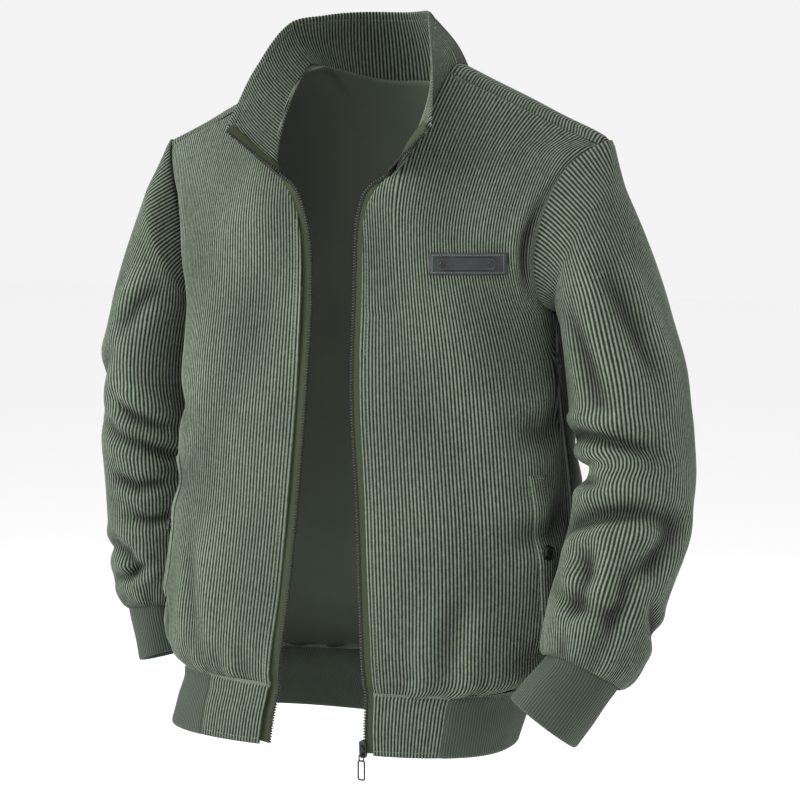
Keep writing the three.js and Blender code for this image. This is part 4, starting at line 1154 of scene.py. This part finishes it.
class JACKET_OT_zip(bpy.types.Operator):
    """The two halves of the zip: woven tape and a row of moulded teeth on each"""

    bl_idname = "jacket.zip"
    bl_label = "Zip"

    def execute(self, context):
        trims = context.scene.jacket_trims
        pitch = trims.tooth_pitch * 1000
        template, faces = prism(8, [(-1.2, 0.55, 0.7), (-0.85, 0.9, 1.2), (2.2, 0.9, 1.25), (2.7, 0.6, 0.8)])
        tape = plain_cloth("woven_tape", opaque(trims.tape), 6500.0, 0.7)
        for side, name in SIDES.items():
            teeth, across, out = zip_line(side)
            reach = np.linspace(0.4, 12.6, 17)
            sunk = -3.35 + 0.25 * np.exp(-((reach - 1.2) / 1.1) ** 2)
            grid = teeth[:, None] + across[:, None] * reach[:, None] + out[:, None] * sunk[:, None]
            u = np.linspace(0, 16, 17)[None]
            made = shell(f"tape_{name}", grid, 0.8, u, 0.12 * np.cos(np.pi * u) + 0 * grid[..., 0],
                         flip=side < 0)
            show(made, "jacket", "zip_tape", [tape, tape], f"zip_tape_{name}")
            start = 13.2 if side > 0 else 1.5
            points, ahead = along_path(np.column_stack([teeth, across, out]), pitch, start)
            across, way = points[:, 3:6], points[:, 6:9]
            middle = points[:, :3] - way * 3.3
            places = np.stack([middle, across, ahead * side, way], 1)
            chain = copies(f"teeth_{name}", template, faces, places)
            show(chain, "jacket", "black_metal", [black_metal()], f"zip_chain_{name}")
        return {"FINISHED"}


def rounded(wide, tall, corner, steps):
    """The outline of a rectangle whose corners are quarter circles, or flats where steps is 1."""
    angle = np.linspace(0, np.pi / 2, steps + 1)
    quarter = corner * np.stack([np.cos(angle), np.sin(angle)], -1)
    w, h = wide / 2 - corner, tall / 2 - corner
    parts = []
    for k, centre in enumerate([(w, h), (-w, h), (-w, -h), (w, -h)]):
        c, s = np.cos(k * np.pi / 2), np.sin(k * np.pi / 2)
        parts.append(np.array(centre) + quarter @ np.array([[c, s], [-s, c]]))
    return np.concatenate(parts)


def slab(name, outline_at, layers, place):
    """A flat part with worked edges: its outline drawn in by each layer's inset, at its height."""
    origin, x, y, z = place
    rings = []
    for inset, height in layers:
        flat = outline_at(inset)
        rings.append(origin + flat[:, :1] * x + flat[:, 1:] * y + z * height)
    return solid_of_rings(name, np.stack(rings))


def front_place(side, x, level, lift):
    """A place on a front: its point, the directions across and up the cloth, and the way out."""
    at = cloth_at(x, level, -1)
    across = cloth_at(x + 1.0, level, -1) - cloth_at(x - 1.0, level, -1)
    along = cloth_at(x, level + 1.0, -1) - cloth_at(x, level - 1.0, -1)
    way, across = unit(np.cross(across, along)), unit(across)
    width = section_length(side, WIDTH_LEVEL, -1)
    inner, outer = section_ends(side, np.array(level), -1)
    share = np.abs(x - inner) / np.abs(outer - inner)
    swell = float(front_swell(side, share, level, width))
    return at + way * (lift + swell), across, np.cross(way, across), way


class JACKET_OT_pockets(bpy.types.Operator):
    """The slanted pocket welts with their stitching and domed snaps"""

    bl_idname = "jacket.pockets"
    bl_label = "Pockets and snaps"

    def execute(self, context):
        _, height = wale_sizes()
        for side, name in SIDES.items():
            width = section_length(side, WIDTH_LEVEL, -1)
            t = np.linspace(0, 1, 48)[:, None]
            level = -536 + 145 * t
            share = WELT_SHARE + 0.01 * (1 - 2 * t) + np.linspace(-0.045, 0.045, 29)[None]
            grid = cloth_at(section_x(side, level, share, -1), level, -1)
            edge = np.min(hem_edges(grid), axis=0)
            u = np.linspace(0, 7, 29)[None]
            relief = 2.7 + wales(u, height * 0.9) + dip(edge, 1.9, 1.5) + stitched(edge, 3.4, 0.7)
            swell = front_swell(side, share, level, width)
            grid = swollen(grid, swell, flip=side < 0)
            made = shell(f"cloth_welt_{name}", grid, -0.35, u, relief, flip=side < 0, swell=swell)
            show(made, "jacket", "corduroy", corduroy(), f"pocket_welt_{name}")
            way = normals(grid) * side
            rows, cols = legs(((2, 4), (45, 4)), ((46, 4), (46, 24)), ((45, 24), (2, 24)), ((1, 24), (1, 4)))
            path, out = stitch_path(grid, way, relief, rows, cols)
            sew(f"stitch_welt_{name}", path, out, 2.5)
            level, share = np.array(SNAP_LEVEL), np.array(WELT_SHARE)
            x = float(section_x(side, level, share, -1))
            lift = max(float(front_swell(side, share, level, width)), 0.0)
            place = front_place(side, x, SNAP_LEVEL, 3.1 + lift)
            profile = [(7.5, -0.2), (7.5, 0.9), (7.35, 1.3), (6.9, 1.55), (6.3, 1.5), (6.0, 1.25), (5.7, 1.5),
                       (5.0, 2.25), (3.6, 2.9), (1.8, 3.2), (0.3, 3.3)]
            dome = turned(f"dome_{name}", profile, place)
            show(dome, "jacket", "black_metal", [black_metal()], f"snap_{name}")
        return {"FINISHED"}


class JACKET_OT_patch(bpy.types.Operator):
    """The stitched leather patch on the left chest with its bare plate and two rivets"""

    bl_idname = "jacket.patch"
    bl_label = "Chest patch"

    def execute(self, context):
        trims = context.scene.jacket_trims
        leather, rubbed = opaque(trims.leather), opaque(trims.leather, 2.0)
        hide = slate_leather("patch_leather", leather, rubbed, 620.0)
        across, up = np.linspace(-0.5, 0.5, 81)[None], np.linspace(-0.5, 0.5, 31)[:, None]
        grid = cloth_at(PATCH_X + across * PATCH_WIDE, PATCH_LEVEL + up * PATCH_TALL, -1)
        edge = np.min(hem_edges(grid), axis=0)
        relief = 2.35 + dip(edge, 1.0, 0.9) + stitched(edge, 1.9, 0.35, 0.7)
        made = shell("leather_patch", grid, -0.35, np.zeros((1, 81)), relief)
        show(made, "jacket", "leather", [hide, hide], "label_patch")
        corners = [(3, 4), (3, 76), (27, 76), (27, 4), (3, 4)]
        rows, cols = legs(*zip(corners[:-1], corners[1:]))
        path, out = stitch_path(grid, normals(grid), relief, rows, cols)
        sew("stitch_patch", path, out, 1.7, 0.5, "leather")
        place = front_place(1, PATCH_X, PATCH_LEVEL, 3.15)
        layers = [(0.5, 0), (0.12, 0.15), (0, 0.5), (0, 0.85), (0.15, 1.12), (0.45, 1.2), (1.0, 1.2),
                  (1.25, 0.98), (1.4, 0.92)]
        plate = slab("leather_plate", lambda inset: rounded(55 - 2 * inset, 11.5 - 2 * inset, 2.4, 1),
                     layers, place)
        finish = slate_leather("plate_leather", leather, rubbed, 900.0)
        show(plate, "jacket", "leather", [finish], "label_plate")
        for name, way in (("inner", -1), ("outer", 1)):
            at = (place[0] + place[1] * way * 22.5 + place[3] * 0.9, *place[1:])
            head = turned(f"rivet_head_{name}", [(2.6, 0), (2.6, 0.35), (2.4, 0.7), (1.9, 0.95), (1.5, 1.0),
                                                 (1.3, 0.8), (0.9, 0.75), (0.1, 0.75)], at, 32)
            show(head, "jacket", "black_metal", [black_metal()], f"rivet_{name}")
        return {"FINISHED"}


class JACKET_OT_slider(bpy.types.Operator):
    """The zip's slider, its bridge, and the open wire pull that hangs from it"""

    bl_idname = "jacket.slider"
    bl_label = "Slider and pull"

    def execute(self, context):
        metal = [black_metal()]
        x = float(read(ZIP_EDGE, -655.0)[1]) - 1.95
        face = float(cloth_at(x, -655.0, -1)[1]) + 3.3 - 2.5
        east, north, out = np.eye(3)[0], np.eye(3)[2], -np.eye(3)[1]
        place = (np.array([x, face + 5, -655.0]), east, north, out)

        def outline(inset):
            flat = rounded(8.2 - 2 * inset, 17 - 2 * inset, 2.6, 5)
            return flat * np.stack([1 - 0.16 * (0.5 - flat[:, 1] / 17), np.ones(len(flat))], -1)
        layers = [(1.0, 0), (0.3, 0.2), (0, 0.7), (0, 1.9), (0.55, 2.1), (0.55, 2.9), (0, 3.1), (0, 4.3),
                  (0.25, 4.75), (0.9, 5.0)]
        show(slab("slider", outline, layers, place), "jacket", "black_metal", metal, "zip_slider")
        corner = np.linspace(0, np.pi / 2, 7)
        bend = 1.5 * np.stack([np.cos(corner), np.sin(corner)], -1)
        arch = np.concatenate([[[-4.85, -0.5]], [-3.35, 2.45] + bend * [-1, 1],
                               [3.35, 2.45] + bend[:, ::-1], [[4.85, -0.5]]])
        path = np.stack([np.full(len(arch), x), face - 0.3 - arch[:, 1], -656.5 + arch[:, 0]], -1)
        bridge = solid_of_rings("bridge", wire_rings(path, (0.62, 0.98), east, False))
        show(bridge, "jacket", "black_metal", metal, "slider_bridge")
        seat = face - 0.3 - (4.6 - 1.3) / 2
        points, faces = [], []
        for wide, tall, middle, wire in ((4.9, 6.0, -662.64, 0.72), (6.6, 18.3, -674.83, 0.9)):
            flat = rounded(wide, tall, 1.6 if wide > 6 else 1.9, 6)
            path = np.stack([x + flat[:, 0], np.full(len(flat), seat), middle + flat[:, 1]], -1)
            loop = wire_rings(path, (wire, 0.6), out, True)
            faces.append(ring_faces(*loop.shape[:2], True) + sum(map(len, points)))
            points.append(loop.reshape(-1, 3))
        points = np.concatenate(points)
        faces = [faces_out(points, [face])[0] for face in faces]
        weave = [np.zeros((face.size, 3)) for face in faces]
        pull = mesh_of("wire_pull", points, faces, [0, 0], weave, [True, True])
        show(pull, "pull", "black_metal", metal, "pull_tab")
        return {"FINISHED"}


class JACKET_OT_stage(bpy.types.Operator):
    """A pale floor, soft lights and the camera of the view"""

    bl_idname = "jacket.stage"
    bl_label = "Stage"

    def execute(self, context):
        stage = context.scene.jacket_stage
        size = 12000.0
        corners = np.array([[-size, -size, 0], [size, -size, 0], [size, size, 0], [-size, size, 0]])
        corners[:, 2] = stage.floor_level * 1000
        floor = mesh_of("floor", corners, [np.array([[0, 1, 2, 3]])], [0], [np.zeros((4, 3))], [False])
        made, tree, shader = finish_of("pale_floor")
        shades = [opaque(stage.pale, shade) for shade in FLOOR_SHADES]
        soft = blend_of(tree, noise(tree, place_of(tree), 0.6), *shades)
        tree.links.new(soft, shader.inputs["Base Color"])
        constants(shader, {"Roughness": 0.9})
        floor.data.materials.append(made)
        world = context.scene.world or bpy.data.worlds.new("studio")
        context.scene.world = world
        world.use_nodes = True
        sky = world.node_tree.nodes["Background"].inputs
        sky[0].default_value, sky[1].default_value = opaque(stage.pale), stage.surround
        middle = Vector((0, 0, -0.33))
        for name, azimuth, height, far, wide, power in (
                ("key", -42, 1.15, 2.3, 1.6, stage.key), ("fill", 74, 0.55, 2.6, 1.8, stage.fill),
                ("top", 25, 2.4, 0.9, 1.6, stage.fill * 2),
                ("rim", 152, 1.0, 2.4, 1.6, stage.fill), ("back", 222, 0.9, 2.4, 1.6, stage.fill)):
            turn = np.radians(azimuth)
            light = bpy.data.lights.new(name, "AREA")
            light.shape, light.size, light.energy = "DISK", wide, power
            lamp = bpy.data.objects.new(name, light)
            lamp.location = middle + Vector((far * np.sin(turn), -far * np.cos(turn), height))
            lamp.rotation_mode = "QUATERNION"
            lamp.rotation_quaternion = (middle - lamp.location).to_track_quat("-Z", "Y")
            context.scene.collection.objects.link(lamp)
        camera = bpy.data.objects.new("camera", bpy.data.cameras.new("camera"))
        turn, rise = stage.azimuth, stage.elevation
        right = Vector((np.cos(turn), np.sin(turn), 0))
        back = Vector((np.sin(turn) * np.cos(rise), -np.cos(turn) * np.cos(rise), np.sin(rise)))
        aim = right * 0.012 + Vector((0, 0, -0.335))
        camera.data.sensor_width, camera.data.lens = 36.0, stage.lens
        camera.location = aim + back * stage.distance
        camera.rotation_mode = "QUATERNION"
        camera.rotation_quaternion = (-back).to_track_quat("-Z", "Y")
        context.scene.collection.objects.link(camera)
        context.scene.camera = camera
        context.scene.view_settings.view_transform = "Standard"
        return {"FINISHED"}


def colour(name, description, default):
    """A colour that the panel shows."""
    return FloatVectorProperty(name=name, description=description, default=default, size=3,
                               min=0, max=1, subtype="COLOR")


def length(name, description, default):
    """A length that the panel shows, in metres."""
    return FloatProperty(name=name, description=description, default=default, unit="LENGTH",
                         subtype="DISTANCE", precision=4)


class ClothSettings(bpy.types.PropertyGroup):
    """Sizes and colours of the cloth"""

    wale_pitch: length("Wale pitch", "From one rib of the corduroy to the next", 0.0036)
    wale_height: length("Wale height", "How far a rib stands above its groove", 0.0011)
    rib_pitch: length("Knit pitch", "From one rib of the knit to the next", 0.0026)
    fold_depth: FloatProperty(name="Folds", description="How deep the creases are", default=1.0,
                              min=0, max=1.3)
    crown: colour("Crown", "The corduroy's ribs", (0.200, 0.247, 0.187))
    # groove is painted shade: the colour between the ribs, darkened for the shade that falls there.
    groove: colour("Groove", "Between the ribs", (0.015, 0.021, 0.013))
    knit: colour("Knit", "The cuffs and hem", (0.072, 0.098, 0.068))


class TrimSettings(bpy.types.PropertyGroup):
    """Sizes and colours of the zip, snaps and patch"""

    tooth_pitch: length("Tooth pitch", "From one tooth of the zip to the next", 0.0027)
    tape: colour("Tape", "The zip's woven tape", (0.030, 0.042, 0.020))
    metal: colour("Metal", "Zip, snaps and rivets", (0.016, 0.017, 0.018))
    leather: colour("Leather", "The chest patch", (0.010, 0.014, 0.0135))


class StageSettings(bpy.types.PropertyGroup):
    """The view and its light"""

    azimuth: FloatProperty(name="Azimuth", description="Turn of the view",
                           default=np.radians(25.0), subtype="ANGLE")
    elevation: FloatProperty(name="Elevation", description="Rise of the view",
                             default=np.radians(6.0), subtype="ANGLE")
    distance: length("Distance", "From the camera to the jacket", 2.6)
    lens: FloatProperty(name="Lens", description="Focal length in millimetres", default=117.0)
    floor_level: length("Floor", "Height of the floor", -1.05)
    key: FloatProperty(name="Key light", description="Watts of the main light", default=64.0, subtype="POWER")
    fill: FloatProperty(name="Fill lights", description="Watts of each other light", default=8.0,
                        subtype="POWER")
    surround: FloatProperty(name="Surround", description="Brightness of the surroundings", default=0.93)
    pale: colour("Floor colour", "The floor and surroundings", (0.97, 0.97, 0.97))


PIECES = (JACKET_OT_stage, JACKET_OT_fronts, JACKET_OT_back, JACKET_OT_sleeves, JACKET_OT_collar,
          JACKET_OT_bands, JACKET_OT_zip, JACKET_OT_pockets, JACKET_OT_patch, JACKET_OT_slider)
GROUPS = {"jacket_cloth": ClothSettings, "jacket_trims": TrimSettings, "jacket_stage": StageSettings}


class JACKET_PT_panel(bpy.types.Panel):
    """The jacket's sizes, colours and pieces"""

    bl_idname = "JACKET_PT_panel"
    bl_label = "Corduroy jacket"
    bl_space_type = "VIEW_3D"
    bl_region_type = "UI"
    bl_category = "Jacket"

    def draw(self, context):
        for name, group in GROUPS.items():
            box = self.layout.box()
            for key in group.__annotations__:
                box.prop(getattr(context.scene, name), key)
        for piece in PIECES:
            self.layout.operator(piece.bl_idname)


def register():
    """Adds the settings, the operators and the panel."""
    for kind in (*GROUPS.values(), *PIECES, JACKET_PT_panel):
        bpy.utils.register_class(kind)
    for name, group in GROUPS.items():
        setattr(bpy.types.Scene, name, PointerProperty(type=group))


def unregister():
    """Takes them away again."""
    for name in GROUPS:
        delattr(bpy.types.Scene, name)
    for kind in (JACKET_PT_panel, *reversed(PIECES), *GROUPS.values()):
        bpy.utils.unregister_class(kind)


def main():
    """Makes every piece in order."""
    register()
    for piece in PIECES:
        group, name = piece.bl_idname.split(".")
        getattr(getattr(bpy.ops, group), name)()


if __name__ == "__main__":
    main()
